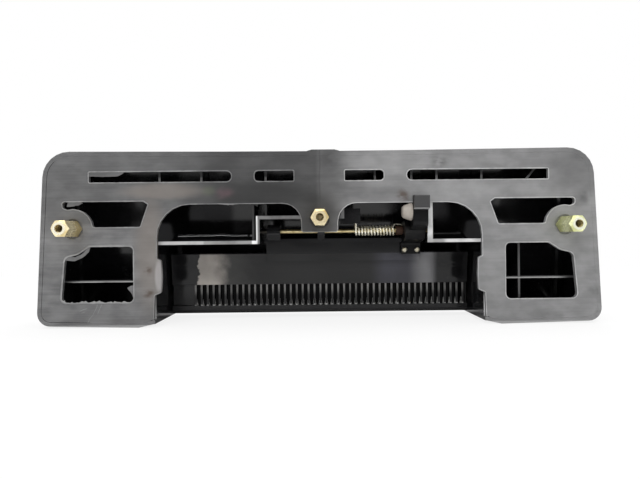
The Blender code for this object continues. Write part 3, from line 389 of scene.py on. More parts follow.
def cover_black():
    """Gloss black moulding: sanded rear rim, wall rear edges pale with wear and a painted highlight, painted
    highlights on rib edges and in a few spots, and painted shade far inside the side lobes.
    """
    look = Look("cover_black", (0.0085, 0.0085, 0.0092), 0.16)
    look.shader.inputs["Specular IOR Level"].default_value = 0.42
    colour, rough = gloss_colour(look)
    # Painted highlights: a few pale spots on the inner skin.
    spot_breakup = look.ramp(look.noise(110.0, 4.0), 0.45, 0.70)
    places = look.spot(*HIGHLIGHT_SPOTS[0], 0.7)
    for centre, size in HIGHLIGHT_SPOTS[1:]:
        places = look.maths("MAXIMUM", places, look.spot(centre, size, 0.7))
    colour = look.blend(look.times(look.times(places, spot_breakup), 0.55), colour, (0.20, 0.20, 0.20))
    # Painted highlights: the ribs' rear edges, the slot's rib ticks and the window rib line are painted pale.
    ribs = look.rear_face(RIB_REAR_Y)
    rib_highlight_breakup = look.ramp(look.noise(75.0, 3.0), 0.30, 0.62, 0.45, 1.0)
    ticks = look.times(look.band(2, *SLOT_Z, 0.5), look.ramp(look.axis(2), 0.0128, 0.0150, 1.0, 0.10))
    line = look.band(2, WINDOW_RIB_Z - 0.3, WINDOW_RIB_Z + 0.3, 0.35)
    line = look.times(line, look.band(0, -163.0, 160.0, 8.0))
    bright = look.times(look.maths("MAXIMUM", ticks, line), rib_highlight_breakup)
    ribs = look.times(ribs, look.number(bright, 0.16, 1.0))
    colour = look.blend(ribs, colour, (0.42, 0.42, 0.42))
    # Painted highlight and wear: the walls' rear edges are painted pale, stretch by stretch.
    walls = look.rear_face(WALL_REAR_Y)
    edge_highlight_and_wear = look.ramp(look.noise(70.0, 4.0), 0.34, 0.58, 0.35, 1.0)
    white = look.blend(edge_highlight_and_wear, (0.13, 0.13, 0.13), (0.62, 0.62, 0.62))
    for (start, end), dull, pale in WALL_HIGHLIGHT_AND_WEAR:
        stretch = look.blend(edge_highlight_and_wear, (dull,) * 3, (pale,) * 3)
        white = look.blend(look.band(0, start, end, 0.4), white, stretch)
    colour = look.blend(walls, colour, white)
    rim = look.band(1, -1.0, RIM_Y, 0.05)
    tone, _, fine = sanded_tone(look)
    tone = look.blend(look.times(look.band(2, -85.0, -82.9, 0.5), 0.5), tone, (0.42, 0.42, 0.42))
    colour = look.blend(rim, colour, tone)
    # Painted shade: far inside the side lobes the rear-facing inner faces turn metallic over their near-black
    # colour, which darkens what they reflect.
    side = look.maths("ABSOLUTE", look.axis(0))
    deep = look.times(look.ramp(side, 0.060, 0.066), look.ramp(side, 0.126, 0.130, 1.0, 0.0))
    deep = look.times(look.times(deep, look.band(2, *POCKET_DEEP_Z, 3.0)), look.band(1, *POCKET_DEEP_Y, 1.0))
    deep = look.times(deep, look.ramp(look.axis(1, look.facing), -0.5, -0.85))
    look.set("Metallic", look.times(deep, 0.75))
    rough = look.number(look.maths("MAXIMUM", walls, ribs), rough, 0.45)
    rough = look.number(rim, rough, 0.58)
    look.set("Base Color", colour)
    look.set("Roughness", rough)
    look.bump(look.maths("ADD", look.noise(75.0, 2.0), look.times(look.times(rim, fine), 0.6)), 0.05, 0.5)
    return look


def paddle_black():
    """Gloss black paddle with a painted reflection patch across its middle band, painted highlights on the
    comb's rib tops and painted shade on the comb's floor between the ribs.
    """
    look = Look("paddle_black", (0.0085, 0.0085, 0.0092), 0.2)
    look.shader.inputs["Specular IOR Level"].default_value = 0.30
    colour, rough = gloss_colour(look)
    # Painted reflection: a patch across the middle band, pale on the left, grey at the right end, dim grey
    # between.
    jag = look.times(look.noise(160.0, 4.0, (1.0, 1.0, 1.0), (0.1, 0.2, 0.3)), 0.012)
    across = look.maths("ADD", look.axis(0), jag)
    reflection_patch = look.times(look.ramp(across, -0.0805, -0.0790), look.ramp(look.axis(0), 0.0780, 0.0845, 1.0, 0.0))
    reflection_patch = look.times(reflection_patch, look.band(2, *REFLECTION_PATCH_Z, 1.5))
    left = look.times(reflection_patch, look.ramp(across, -0.072, -0.056, 1.0, 0.0))
    right = look.times(reflection_patch, look.ramp(look.axis(0), 0.034, 0.048))
    end = look.times(reflection_patch, look.ramp(look.axis(0), 0.062, 0.076))
    cloud = look.ramp(look.noise(45.0, 4.0), 0.30, 0.70, 0.65, 1.0)
    colour = look.blend(look.times(reflection_patch, 0.55), colour, (0.026, 0.026, 0.026))
    fading = look.times(reflection_patch, look.ramp(across, -0.060, -0.036, 1.0, 0.0))
    colour = look.blend(look.times(fading, 0.6), colour, (0.065, 0.064, 0.062))
    colour = look.blend(look.times(look.times(left, cloud), 0.95), colour, (0.44, 0.405, 0.37))
    colour = look.blend(look.times(look.times(right, cloud), 0.85), colour, (0.050, 0.050, 0.062))
    colour = look.blend(look.times(look.times(end, cloud), 0.85), colour, (0.27, 0.27, 0.275))
    comb = look.band(2, *COMB_Z, 0.2)
    # Painted highlight: the ribs' rear faces are painted pale towards their upper ends, broken up by noise.
    tops = look.times(comb, look.band(1, COMB_REAR_Y - 0.3, COMB_REAR_Y + 0.5, 0.3))
    fade = look.ramp(look.axis(2), -0.0685, -0.0625, 0.08, 1.0)
    patchy = look.ramp(look.noise(70.0, 3.0), 0.30, 0.65, 0.55, 1.0)
    colour = look.blend(look.times(look.times(tops, fade), patchy), colour, (0.19, 0.187, 0.182))
    # Painted shade: the comb's floor between the ribs is made black and mirror-like, metallic over a
    # near-black colour.
    floor = look.times(look.times(comb, look.rear_face(COMB_FLOOR_Y)), look.band(0, -90.0, 104.0, 0.5))
    colour = look.blend(floor, colour, (0.0015, 0.0015, 0.0016))
    rough = look.number(reflection_patch, rough, 0.42)
    rough = look.number(floor, rough, 0.03)
    rough = look.number(tops, rough, 0.45)
    look.set("Base Color", colour)
    look.set("Roughness", rough)
    look.set("Metallic", look.times(floor, 0.9))
    look.bump(look.noise(75.0, 2.0), 0.04, 0.5)
    return look


def fillet_black():
    """The glossy moulding's own polish, wetter and a little wavy in its inner corners."""
    look = Look("fillet_black", (0.0085, 0.0085, 0.0092), 0.1)
    look.shader.inputs["Coat Weight"].default_value = 1.0
    look.shader.inputs["Coat Roughness"].default_value = 0.05
    colour, rough = gloss_colour(look)
    look.set("Base Color", colour)
    look.set("Roughness", look.times(rough, 0.7))
    look.bump(look.noise(120.0, 3.0, (1.0, 0.5, 0.5)), 0.45, 0.8)
    return look


def dust_and_highlight_black():
    """Gloss black with settled dust and a painted highlight, on the comb's feet."""
    look = Look("dust_and_highlight_black", (0.05, 0.05, 0.05), 0.3)
    grain = look.noise(300.0, 3.0)
    dust = look.ramp(grain, 0.35, 0.65)
    # Pale grey: dust, and a painted highlight of the flared feet.
    look.set("Base Color", look.blend(dust, (0.15, 0.15, 0.148), (0.36, 0.357, 0.350)))
    look.set("Roughness", look.ramp(grain, 0.3, 0.7, 0.22, 0.40))
    look.bump(grain, 0.03, 0.5)
    return look


def satin_black():
    """Satin lever with its head's upper part painted paler, as lit from above, and a painted highlight line
    along the head's foot.
    """
    look = Look("satin_black", (0.006, 0.006, 0.0065), 0.42)
    look.shader.inputs["Specular IOR Level"].default_value = 0.18
    grain = look.noise(700.0, 3.0)
    look.set("Roughness", look.ramp(grain, 0.3, 0.7, 0.30, 0.46))
    patchy = look.ramp(look.noise(60.0, 4.0), 0.45, 0.7)
    colour = look.blend(patchy, (0.004, 0.004, 0.0045), (0.009, 0.009, 0.009))
    # Painted light: the head's upper part is painted paler, as lit from above.
    head = look.times(look.band(1, -8.4, -5.5, 0.5), look.ramp(look.axis(2), -0.0101, -0.0076))
    colour = look.blend(look.times(head, 0.8), colour, (0.070, 0.070, 0.071))
    # Painted highlight: a pale line along the head's foot.
    edge = look.times(look.band(1, -8.4, -5.5, 0.5), look.band(2, -9.9, -8.9, 0.3))
    colour = look.blend(look.times(edge, 0.8), colour, (0.40, 0.40, 0.40))
    look.set("Base Color", colour)
    look.bump(grain, 0.03, 0.5)
    return look


def plated(name, bright, dull, roughness, scale, metallic=1.0):
    """Plated or machined metal with a mottled tone and fine turning marks."""
    look = Look(name, bright, roughness, metallic)
    mottle = look.ramp(look.noise(scale, 4.0), 0.35, 0.7)
    look.set("Base Color", look.blend(mottle, bright, dull))
    look.set("Roughness", look.ramp(mottle, 0.0, 1.0, roughness, roughness + 0.14))
    look.bump(look.noise(scale * 6.0, 2.0), 0.02, 0.5)
    return look


# Standoffs: node, material, and the tones of its bright and dull plating and of its end
STUDS = (
    ("standoff_left", "stud_brass", (1.0, 0.88, 0.56), (0.80, 0.62, 0.28), (0.86, 0.83, 0.68)),
    ("standoff_centre", "stud_dull", (0.95, 0.82, 0.52), (0.66, 0.50, 0.22), (0.62, 0.53, 0.34)),
    ("standoff_right", "stud_green", (0.93, 0.95, 0.56), (0.62, 0.64, 0.28), (0.78, 0.79, 0.66)),
)


def stud_metal(name, bright, dull, end):
    """Plated standoff, whose turned end is matt and pale: turned metal, with a painted reflection of the
    bright surroundings.
    """
    look = plated(name, bright, dull, 0.24, 130.0, 0.7)
    rearward = look.ramp(look.axis(1, look.facing), -0.5, -0.9)
    # Painted reflection: the end face is painted pale and nearly matt.
    face = look.times(look.band(1, -19.0, STUD_END_Y + 0.3, 0.1), rearward)
    turned = look.ramp(look.noise(900.0, 2.0), 0.35, 0.65, 0.75, 1.0)
    colour = look.blend(look.times(face, turned), look.fed("Base Color"), end)
    look.set("Base Color", colour)
    look.set("Metallic", look.number(face, 0.7, 0.15))
    return look


def pin_metal():
    """Yellow zinc pin, greased dark towards its left end."""
    look = Look("pin_zinc", (0.72, 0.60, 0.30), 0.3, 1.0)
    mottle = look.ramp(look.noise(300.0, 4.0), 0.35, 0.7)
    colour = look.blend(mottle, (0.70, 0.60, 0.34), (0.46, 0.36, 0.18))
    grease = look.ramp(look.axis(0), -0.0290, -0.0245, 1.0, 0.0)
    look.set("Base Color", look.blend(grease, colour, (0.045, 0.042, 0.036)))
    look.set("Roughness", look.ramp(mottle, 0.0, 1.0, 0.30, 0.44))
    look.bump(look.noise(1500.0, 2.0), 0.02, 0.5)
    return look


def nylon(name, pale, dark):
    """Dull nylon with grime in patches."""
    look = Look(name, pale, 0.5)
    grime = look.ramp(look.noise(190.0, 4.0), 0.45, 0.75)
    look.set("Base Color", look.blend(grime, pale, dark))
    look.set("Roughness", look.ramp(grime, 0.0, 1.0, 0.48, 0.62))
    look.bump(look.noise(420.0, 3.0), 0.03, 0.5)
    return look


def dress(name, look):
    """Gives a CAD node its material."""
    for slot in NODES[name].material_slots:
        slot.material = look.material


def dress_nodes():
    """Gives every CAD node but the spring its material."""
    dress("outer_cover", cover_black())
    dress("paddle", paddle_black())
    dress("back_frame", sanded_black())
    dress("release_lever", satin_black())
    for node, name, bright, dull, end in STUDS:
        dress(node, stud_metal(name, bright, dull, end))
    dress("hinge_pin", pin_metal())
    screw = plated("screw_zinc", (0.80, 0.76, 0.62), (0.50, 0.44, 0.30), 0.24, 300.0)
    for name in ("lever_screw_left", "lever_screw_right"):
        dress(name, screw)
    dress("rod_clip", nylon("cream_nylon", (0.36, 0.325, 0.285), (0.235, 0.205, 0.175)))
    bush = nylon("brown_nylon", (0.040, 0.020, 0.012), (0.020, 0.012, 0.008))
    bush.shader.inputs["Specular IOR Level"].default_value = 0.15
    dress("pivot_bush", bush)


def soften_edges():
    """Small moulded radii, which catch the light along every edge."""
    widths = {"outer_cover": 0.25, "back_frame": 0.12, "paddle": 0.20, "release_lever": 0.25,
              "standoff_left": 0.12, "standoff_centre": 0.12, "standoff_right": 0.12}
    for name, width in widths.items():
        bevel = NODES[name].modifiers.new("edge_radius", "BEVEL")
        bevel.width = width * MM
        bevel.segments = 2
        bevel.limit_method = "ANGLE"
        bevel.angle_limit = math.radians(40)
        bevel.harden_normals = False


def new_piece(name, bm, body, material, smooth=True):
    """Turns a bmesh in mm into a piece that rides on a body."""
    bmesh.ops.scale(bm, vec=(MM, MM, MM), verts=bm.verts)
    bmesh.ops.recalc_face_normals(bm, faces=bm.faces)
    mesh = bpy.data.meshes.new(name)
    bm.to_mesh(mesh)
    bm.free()
    if smooth:
        mesh.shade_smooth()
    mesh.materials.append(material)
    piece = bpy.data.objects.new(name, mesh)
    bpy.context.scene.collection.objects.link(piece)
    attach(piece, body)
    return piece


def wobble(x, z, seed, scale=0.35):
    """Smooth random value from -1 to 1 at a place in mm."""
    return noise.noise(Vector((x * scale, seed * 7.3, z * scale)))


def rear_loops(name):
    """Closed outlines of a CAD node's flat rear face, as (x, z) in mm."""
    node = NODES[name]
    bm = bmesh.new()
    bm.from_mesh(node.data)
    bm.transform(node.matrix_world)
    bmesh.ops.remove_doubles(bm, verts=bm.verts, dist=0.002 * MM)
    following = {}
    for edge in bm.edges:
        flat = [abs(vert.co.y) < 0.05 * MM for vert in edge.verts]
        rear = [face.normal.y < -0.9 for face in edge.link_faces]
        if all(flat) and rear.count(True) == 1 and len(rear) == 2:
            a, b = edge.verts
            following.setdefault(a, []).append(b)
            following.setdefault(b, []).append(a)
    loops = []
    waiting = set(following)
    while waiting:
        start = min(waiting, key=lambda v: (v.co.x, v.co.z))
        loop = [start]
        waiting.discard(start)
        while True:
            ahead = [v for v in following[loop[-1]] if v in waiting]
            if not ahead:
                break
            loop.append(ahead[0])
            waiting.discard(ahead[0])
        if len(loop) > 3:
            loops.append([(v.co.x / MM, v.co.z / MM) for v in loop])
    bm.free()
    return loops


def turned_left(points):
    """The outline with its inside on the left, which is anticlockwise."""
    area = sum(a[0] * b[1] - b[0] * a[1] for a, b in zip(points, points[1:] + points[:1]))
    return points if area > 0 else points[::-1]


def walk(points, step, closed=True):
    """Points about a step apart along an outline, with the corners kept."""
    ring = points + points[:1] if closed else points
    out = []
    for a, b in zip(ring, ring[1:]):
        a = Vector(a)
        b = Vector(b)
        count = max(1, round((b - a).length / step))
        out += [a.lerp(b, i / count) for i in range(count)]
    if not closed:
        out.append(Vector(points[-1]))
    return out


def side_vectors(points, closed=True):
    """Unit vector to the left of the path at each of its points."""
    sides = []
    last = len(points) - 1
    for index, point in enumerate(points):
        before = points[index - 1] if closed or index > 0 else point
        after = points[(index + 1) % len(points)] if closed or index < last else point
        along = after - before
        along = along.normalized() if along.length > 1e-9 else Vector((1, 0))
        sides.append(Vector((-along.y, along.x)))
    return sides


def loft(bm, rings, closed=False):
    """Joins rings of points into a tube; the ends are capped where it isn't closed."""
    after = rings[1:] + rings[:1] if closed else rings[1:]
    for ring, following in zip(rings, after):
        count = len(ring)
        for i in range(count):
            j = (i + 1) % count
            bm.faces.new((ring[i], ring[j], following[j], following[i]))
    if not closed:
        bm.faces.new(rings[0])
        bm.faces.new(rings[-1])


def strip(bm, points, section, closed=True):
    """Sweeps a closed section of (side, y) places along a path; the ends are capped."""
    sides = side_vectors(points, closed)
    rings = []
    last = len(points) - 1
    for index, (point, side) in enumerate(zip(points, sides)):
        taper = 1.0 if closed else min(1.0, 0.25 + min(index, last - index) * 0.5)
        ring = []
        for reach, y in section(point, taper):
            place = point + side * reach
            ring.append(bm.verts.new((place.x, y, place.y)))
        rings.append(ring)
    loft(bm, rings, closed)


TORN_EDGE_X = (-167.0, -126.0)
TORN_EDGE_Z = (-69.2, -67.2)
SMEAR = ((-58.5, -5.6), 6.5)


def torn(point):
    """How much further the edge is torn out: along the left window's foot, and where it was smeared."""
    if TORN_EDGE_X[0] < point.x < TORN_EDGE_X[1] and TORN_EDGE_Z[0] < point.y < TORN_EDGE_Z[1]:
        return 4.5 * max(0.0, wobble(point.x, 0.0, 51, 0.9)) + 3.0 * max(0.0, wobble(point.x, 0.0, 52, 0.33))
    near = max(0.0, 1.0 - (point - Vector(SMEAR[0])).length / SMEAR[1])
    return 6.0 * near * (0.6 + 0.8 * wobble(point.x, 0.0, 53, 0.7))


def burr_section(height, width, overhang, seed):
    """Uneven burr: it hangs over the edge on the left and feathers out on the right."""
    def section(point, taper):
        rough = 0.5 + 0.5 * wobble(point.x, point.y, seed, 0.55)
        bump = 0.5 + 0.5 * wobble(point.x, point.y, seed + 1, 0.9)
        over = overhang * (0.25 + rough + torn(point)) * taper
        tall = height * (0.35 + bump) * taper
        wide = width * (0.6 + 0.6 * rough) * taper
        outer = ((over, 0.14), (over * 0.8, -0.5 * tall), (0.02, -tall))
        inner = ((-wide, -0.012), (-wide * 0.7, 0.05), (0.0, 0.22))
        return outer + inner
    return section


def split_loop(points, keep):
    """Runs of points of a closed outline for which a test holds."""
    marks = [keep(p) for p in points]
    if all(marks):
        return [points]
    if not any(marks):
        return []
    start = marks.index(False)
    order = points[start:] + points[:start]
    marks = marks[start:] + marks[:start]
    runs = []
    for point, mark in zip(order, marks):
        if mark:
            if not runs or runs[-1] is None:
                if runs:
                    runs.pop()
                runs.append([])
            runs[-1].append(point)
        elif runs and runs[-1] is not None:
            runs.append(None)
    return [run for run in runs if run and len(run) > 3]


def on_inner_edge(point):
    """The frame's edge round the pocket and the hinge bay."""
    return abs(point.x) < 109.5 and -80.0 < point.y < 0.0


def make_burrs(material):
    """Burrs left by the sander round every opening of the frame."""
    loops = sorted(rear_loops("back_frame"), key=len, reverse=True)
    bm = bmesh.new()
    for index, loop in enumerate(loops):
        points = walk(turned_left(loop), 1.1)
        xs = [p.x for p in points]
        zs = [p.y for p in points]
        wide = max(xs) - min(xs)
        middle = (max(xs) + min(xs)) / 2
        if wide > 300:
            outward = points[::-1]
            for run in split_loop(outward, on_inner_edge):
                strip(bm, run, burr_section(0.10, 0.35, 0.22, index), closed=False)
        elif wide > 14:
            torn_window = middle < -120 and max(zs) < -20
            coarse = 1.9 if torn_window else (1.15 if middle < 0 else 1.0)
            strip(bm, points, burr_section(0.13 * coarse, 0.48 * coarse, 0.24 * coarse, index))
    return new_piece("edge_burrs", bm, "housing", material)


def make_seam_bead(material):
    """Smeared plastic that closes the seam of frame and cover, except on the left side."""
    loops = sorted(rear_loops("back_frame"), key=len, reverse=True)
    points = walk(turned_left(loops[0]), 2.0)[::-1]

    def keep(point):
        return not on_inner_edge(point) and (point.x > -150 or point.y > 22) and point.y > -90

    def section(point, taper):
        half = 0.50 + 0.12 * wobble(point.x, point.y, 5, 0.3)
        return ((half + 0.15, 0.02), (0.15, -0.035), (-half + 0.15, 0.02), (0.15, 0.12))

    bm = bmesh.new()
    for run in split_loop(points, keep):
        strip(bm, run, section, closed=False)
    return new_piece("seam_bead", bm, "housing", material)


def plate(bm, outline, y, thickness):
    """Thin plate of flash with an outline of (x, z) in mm."""
    rear = [bm.verts.new((x, y, z)) for x, z in outline]
    front = [bm.verts.new((x, y + thickness, z)) for x, z in outline]
    loft(bm, [rear, front])


def ragged(points, step, size, seed):
    """Closed outline made uneven between its corners."""
    out = []
    for point, side in zip(walk(points, step), side_vectors(walk(points, step))):
        moved = point + side * size * wobble(point.x, point.y, seed, 1.1)
        out.append((moved.x, moved.y))
    return out


# Outlines of the flash, as (x, z) in mm
SLOT_FLASH = ((-149.9, 17.2), (-149.9, 14.0), (-139.0, 13.7), (-131.0, 13.9), (-127.5, 15.6), (-126.2, 17.1))
TAIL_FLASH = (
    (-163.2, -1.9), (-157.0, -1.9), (-153.4, -3.4), (-156.4, -4.6), (-161.0, -5.4), (-164.0, -5.6),
    (-163.6, -4.1),
)
CRESCENT = (
    (-168.6, -36.9), (-159.0, -38.2), (-154.6, -36.4), (-151.0, -33.0), (-150.2, -31.1),
    (-148.6, -31.1), (-150.2, -35.2), (-154.0, -38.6), (-159.2, -40.8), (-168.6, -40.0),
)
CURL = (
    (-120.4, -56.6), (-123.6, -57.4), (-125.4, -58.6), (-124.2, -60.4), (-122.9, -61.8),
    (-121.9, -64.5), (-120.4, -66.9),
)


def make_flash(material):
    """Thin flash left standing in the openings on the left."""
    bm = bmesh.new()
    plate(bm, ragged(CURL, 0.8, 0.35, 14), 0.60, 0.5)
    plate(bm, ragged(SLOT_FLASH, 1.5, 0.25, 11), 0.25, 0.5)
    plate(bm, ragged(TAIL_FLASH, 1.0, 0.35, 12), 0.35, 0.5)
    plate(bm, ragged(CRESCENT, 1.2, 0.20, 13), 0.30, 0.5)
    return new_piece("moulding_flash", bm, "housing", material, smooth=False)


FLANGE = ((70.9, -30.8), (72.5, -30.8), (72.5, -3.2), (71.3, -3.2))


def make_post_flange(material):
    """Thin flange that widens the rear edge of the bay's right wall."""
    bm = bmesh.new()
    plate(bm, ragged(FLANGE, 1.2, 0.18, 15), WALL_REAR_Y + 0.02, 0.8)
    return new_piece("post_flange", bm, "housing", material, smooth=False)


GATE_ENDS = ((-5.2, -10.6), (10.4, 16.2))
GATE_FOOT_Z = 28.7
GATE_RISE = 1.4
GATE_REAR_Y = 0.1
GATE_FRONT_Y = 5.8
GATE_STEPS = 8


def make_gate_shoulders(material):
    """Smeared shoulders that run the gate's stub out into the top edge."""
    bm = bmesh.new()
    for high, low in GATE_ENDS:
        rings = []
        for step in range(GATE_STEPS + 1):
            share = step / GATE_STEPS
            x = high + (low - high) * share
            top = GATE_FOOT_Z + GATE_RISE * (0.5 + 0.5 * math.cos(math.pi * share)) * (1 - 0.25 * share)
            foot = GATE_FOOT_Z - 0.6
            section = (
                (GATE_REAR_Y, foot), (GATE_REAR_Y, top - 0.15), (GATE_REAR_Y + 0.2, top),
                (GATE_FRONT_Y, top), (GATE_FRONT_Y, foot),
            )
            rings.append([bm.verts.new((x, y, z)) for y, z in section])
        loft(bm, rings)
    return new_piece("gate_shoulders", bm, "housing", material)


CRACKS = (
    ((-144.4, -68.4), (-145.4, -71.6), (-147.0, -75.0), (-149.6, -78.4), (-150.9, -81.2)),
    ((-141.6, -68.5), (-143.4, -72.6), (-144.6, -75.6)),
    ((-156.5, -73.6), (-153.6, -72.2), (-151.0, -71.6)),
    ((-155.0, -74.6), (-152.4, -73.6)),
)


def make_cracks(material):
    """Raised pale lines where the left foot has cracked and been scratched."""
    def section(point, taper):
        half = 0.22 * taper * (1.0 + 0.4 * wobble(point.x, point.y, 21, 0.8))
        return ((half, 0.03), (0.0, -0.09 * taper), (-half, 0.03), (0.0, 0.10))

    bm = bmesh.new()
    for line in CRACKS:
        points = walk([tuple(p) for p in line], 0.7, closed=False)
        points = [p + Vector((0.35 * wobble(p.x, p.y, 22, 0.9), 0)) for p in points]
        strip(bm, points, section, closed=False)
    return new_piece("crack_lines", bm, "housing", material)


SKIN_TOP_Y = 36.0
SKIN_TOP_Z = 30.3
SKIN_LEAN = 24.0
SKIN_HEIGHT = 114.7
SKIN_THICKNESS = 2.6


def skin_y(z):
    """Depth of the skin's inner face at a height, in mm."""
    return SKIN_TOP_Y + SKIN_LEAN * (SKIN_TOP_Z - z) / SKIN_HEIGHT - SKIN_THICKNESS


FILLET_R = 5.8
FILLET_STEPS = 7
FILLETS = ((-105.5, -43.5), (77.0, 105.5))


def make_fillets(material):
    """Fillets between the pocket's ceiling wall and the skin, a little uneven as moulded."""
    bm = bmesh.new()
    for low, high in FILLETS:
        count = round((high - low) / 1.6)
        rings = []
        for i in range(count + 1):
            x = low + (high - low) * i / count
            radius = FILLET_R * (1.0 + 0.13 * wobble(x, 0.0, 31, 0.12) + 0.05 * wobble(x, 0.0, 32, 0.6))
            base_z = CEILING_TOP_Z + 0.02
            corner_y = skin_y(base_z + radius) - 0.02
            ring = [bm.verts.new((x, corner_y + 0.3, base_z - 0.1))]
            for step in range(FILLET_STEPS + 1):
                angle = math.pi / 2 * step / FILLET_STEPS
                y = corner_y - radius * (1 - math.sin(angle))
                z = base_z + radius * (1 - math.cos(angle))
                ring.append(bm.verts.new((x, y, z)))
            rings.append(ring)
        loft(bm, rings)
    return new_piece("wall_fillets", bm, "housing", material)


COMB_RIGHT_X = 102.3
COMB_PITCH = 4.25
COMB_COUNT = 46
COMB_FOOT_Z = -75.0
FOOT_HEIGHT = 4.6
FOOT_TIP_HALF = 0.60
FOOT_FLARE = ((0.0, 1.45), (0.35, 1.02), (1.0, 0.68))


def make_comb_feet(material):
    """Flared feet of the comb's ribs, on the rail."""
    bm = bmesh.new()
    for index in range(COMB_COUNT):
        x = COMB_RIGHT_X - index * COMB_PITCH
        tall = FOOT_HEIGHT * (1.0 + 0.12 * wobble(x, 0.0, 41, 0.8))
        rear_foot = COMB_REAR_Y - 0.10
        rings = []
        for share, half in FOOT_FLARE:
            z = COMB_FOOT_Z + 0.02 + tall * share
            rear = rear_foot + (COMB_FLOOR_Y - rear_foot - 0.3) * share * 0.25
            front = COMB_FLOOR_Y - 0.02
            corners = ((-half, front), (-FOOT_TIP_HALF, rear), (FOOT_TIP_HALF, rear), (half, front))
            rings.append([bm.verts.new((x + reach, y, z)) for reach, y in corners])
        loft(bm, rings)
    return new_piece("comb_feet", bm, "handle", material, smooth=False)


THREAD_PITCH = 1.0
THREAD_TURNS = 14
THREAD_STEPS = 20
THREAD_ROOT_R = 2.54
THREAD_CREST_R = 2.15
THREAD_START_Y = -17.6
THREAD_HALF_WIDTH = 0.42
STANDOFF_PLACES = ((-160.0, -20.0), (0.0, -14.5), (160.0, -20.0))


def make_threads(material):
    """Helical thread inside each standoff's bore."""
    bm = bmesh.new()
    profile = ((THREAD_ROOT_R, -THREAD_HALF_WIDTH), (THREAD_CREST_R, 0.0), (THREAD_ROOT_R, THREAD_HALF_WIDTH))
    for x, z in STANDOFF_PLACES:
        rings = []
        for step in range(THREAD_TURNS * THREAD_STEPS + 1):
            angle = 2 * math.pi * step / THREAD_STEPS
            y = THREAD_START_Y + THREAD_PITCH * step / THREAD_STEPS
            ring = []
            for radius, shift in profile:
                place = (x + radius * math.cos(angle), y + shift, z + radius * math.sin(angle))
                ring.append(bm.verts.new(place))
            rings.append(ring)
        loft(bm, rings)
    return new_piece("bore_threads", bm, "housing", material)


def make_torsion_spring(material):
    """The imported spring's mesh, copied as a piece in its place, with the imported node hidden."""
    mesh = NODES["return_spring"].data.copy()
    mesh.name = "torsion_spring"
    mesh.materials.clear()
    mesh.materials.append(material)
    mesh.shade_smooth()
    piece = bpy.data.objects.new("torsion_spring", mesh)
    bpy.context.scene.collection.objects.link(piece)
    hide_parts("return_spring")
    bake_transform(piece)


def make_pieces():
    """Makes the trim, wear, threads and spring that the CAD nodes don't carry."""
    sanded = bpy.data.materials["sanded_black"]
    burr = burr_plastic().material
    make_burrs(burr)
    make_cracks(burr)
    make_flash(sanded)
    make_seam_bead(sanded)
    cover = bpy.data.materials["cover_black"]
    make_post_flange(cover)
    make_gate_shoulders(cover)
    wire = plated("spring_wire", (0.96, 0.93, 0.80), (0.72, 0.66, 0.48), 0.20, 420.0, 0.85)
    make_torsion_spring(wire.material)
    make_fillets(fillet_black().material)
    make_comb_feet(dust_and_highlight_black().material)
    make_threads(plated("thread_metal", (0.62, 0.50, 0.26), (0.30, 0.22, 0.10), 0.3, 500.0).material)


def make_camera():
    """The photograph's own viewpoint, straight at the mounting side."""
    turn = Matrix.Rotation(YAW, 3, "Z") @ Matrix.Rotation(PITCH, 3, "X")
    turn = turn @ Matrix.Rotation(ROLL, 3, "Y")
    right = turn.col[0]
    forward = turn.col[1]
    up = turn.col[2]
    data = bpy.data.cameras.new("camera")
    data.sensor_width = SENSOR
    data.lens = FOCAL_PX * SENSOR / IMAGE_WIDTH
    data.clip_start = 0.01
    data.clip_end = 50.0
    camera = bpy.data.objects.new("camera", data)
    bpy.context.scene.collection.objects.link(camera)
    matrix = Matrix((right, up, -forward)).transposed().to_4x4()
    matrix.translation = EYE
    camera.matrix_world = matrix
    bpy.context.scene.camera = camera


def make_floor():
    """Pale floor that keeps the shadow near the object and fades to white further out."""
    mesh = bpy.data.meshes.new("floor")
    half = FLOOR_SIZE / 2
    corners = [(-half, -half, 0), (half, -half, 0), (half, half, 0), (-half, half, 0)]
    mesh.from_pydata(corners, [], [(0, 1, 2, 3)])
    floor = bpy.data.objects.new("floor", mesh)
    floor.location.z = FLOOR_Z
    bpy.context.scene.collection.objects.link(floor)
    look = Look("floor_white", (0.94, 0.94, 0.94), 0.9)
    look.shader.inputs["Specular IOR Level"].default_value = 0.0
    tree = look.tree
    output = tree.nodes["Material Output"]
    length = look.add("ShaderNodeVectorMath")
    length.operation = "LENGTH"
    look.feed(length.inputs[0], look.place)
    far = look.ramp(length.outputs["Value"], *FLOOR_FADE, FLOOR_GLOW, 1.0)
    camera_ray = look.add("ShaderNodeLightPath").outputs["Is Camera Ray"]
    glow = look.add("ShaderNodeEmission")
    mix = look.add("ShaderNodeMixShader")
    look.feed(mix.inputs[0], look.maths("MULTIPLY", far, camera_ray))
    look.feed(mix.inputs[1], look.shader.outputs[0])
    look.feed(mix.inputs[2], glow.outputs[0])
    look.feed(output.inputs["Surface"], mix.outputs[0])
    mesh.materials.append(look.material)


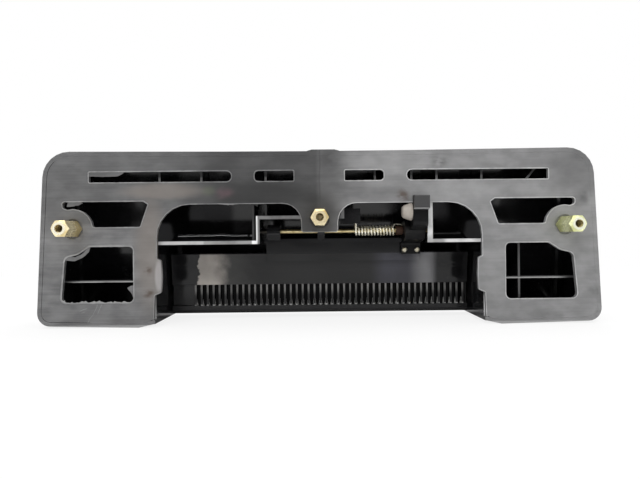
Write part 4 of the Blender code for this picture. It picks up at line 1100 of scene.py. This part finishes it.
def make_world():
    """White surroundings, where mirrored light finds a darker place behind the viewpoint."""
    world = bpy.data.worlds.new("studio")
    bpy.context.scene.world = world
    world.use_nodes = True
    tree = world.node_tree
    background = tree.nodes["Background"]
    place = tree.nodes.new("ShaderNodeTexCoord")
    cone = tree.nodes.new("ShaderNodeVectorMath")
    cone.operation = "DOT_PRODUCT"
    cone.inputs[1].default_value = (0.0, -1.0, 0.0)
    tree.links.new(place.outputs["Generated"], cone.inputs[0])
    room = tree.nodes.new("ShaderNodeMapRange")
    room.interpolation_type = "SMOOTHSTEP"
    room.inputs["From Min"].default_value = ROOM_CONE[1]
    room.inputs["From Max"].default_value = ROOM_CONE[0]
    room.inputs["To Min"].default_value = ROOM_LEVEL
    room.inputs["To Max"].default_value = ROOM_DARK
    tree.links.new(cone.outputs["Value"], room.inputs["Value"])
    path = tree.nodes.new("ShaderNodeLightPath")
    shiny = tree.nodes.new("ShaderNodeMath")
    shiny.operation = "MAXIMUM"
    tree.links.new(path.outputs["Is Glossy Ray"], shiny.inputs[0])
    tree.links.new(path.outputs["Is Transmission Ray"], shiny.inputs[1])
    level = tree.nodes.new("ShaderNodeMix")
    level.inputs[2].default_value = WORLD_LEVEL
    tree.links.new(shiny.outputs[0], level.inputs[0])
    tree.links.new(room.outputs[0], level.inputs[3])
    seen = tree.nodes.new("ShaderNodeMix")
    seen.inputs[3].default_value = 1.0
    tree.links.new(path.outputs["Is Camera Ray"], seen.inputs[0])
    tree.links.new(level.outputs[0], seen.inputs[2])
    tree.links.new(seen.outputs[0], background.inputs["Strength"])
    background.inputs["Color"].default_value = (1.0, 1.0, 1.0, 1.0)


def area_light(name, place, aim, size, power, mirrored=True):
    """A rectangular light at a place in metres, turned to an aim."""
    data = bpy.data.lights.new(name, "AREA")
    data.shape = "RECTANGLE"
    data.size = size[0]
    data.size_y = size[1]
    data.energy = power
    light = bpy.data.objects.new(name, data)
    light.location = place
    light.rotation_euler = (Vector(aim) - Vector(place)).to_track_quat("-Z", "Y").to_euler()
    light.visible_camera = False
    light.visible_glossy = mirrored
    bpy.context.scene.collection.objects.link(light)


def make_lights():
    """Key, fill and top light on the mounting side, and one on the front skin."""
    middle = (0, 0, -0.03)
    area_light("key", (-0.45, -1.05, 0.95), middle, (0.9, 0.5), 9.0)
    area_light("fill", (0.9, -0.9, 0.25), middle, (0.6, 0.6), 2.0, mirrored=False)
    area_light("top", (0.0, 0.15, 1.3), middle, (1.4, 0.7), 8.0)
    area_light("front", (0.5, 1.3, 0.6), (0, 0.05, -0.03), (1.0, 0.8), 8.0)


bpy.context.scene.view_settings.view_transform = "Standard"
dress_nodes()
soften_edges()
make_pieces()
make_camera()
make_floor()
make_world()
make_lights()
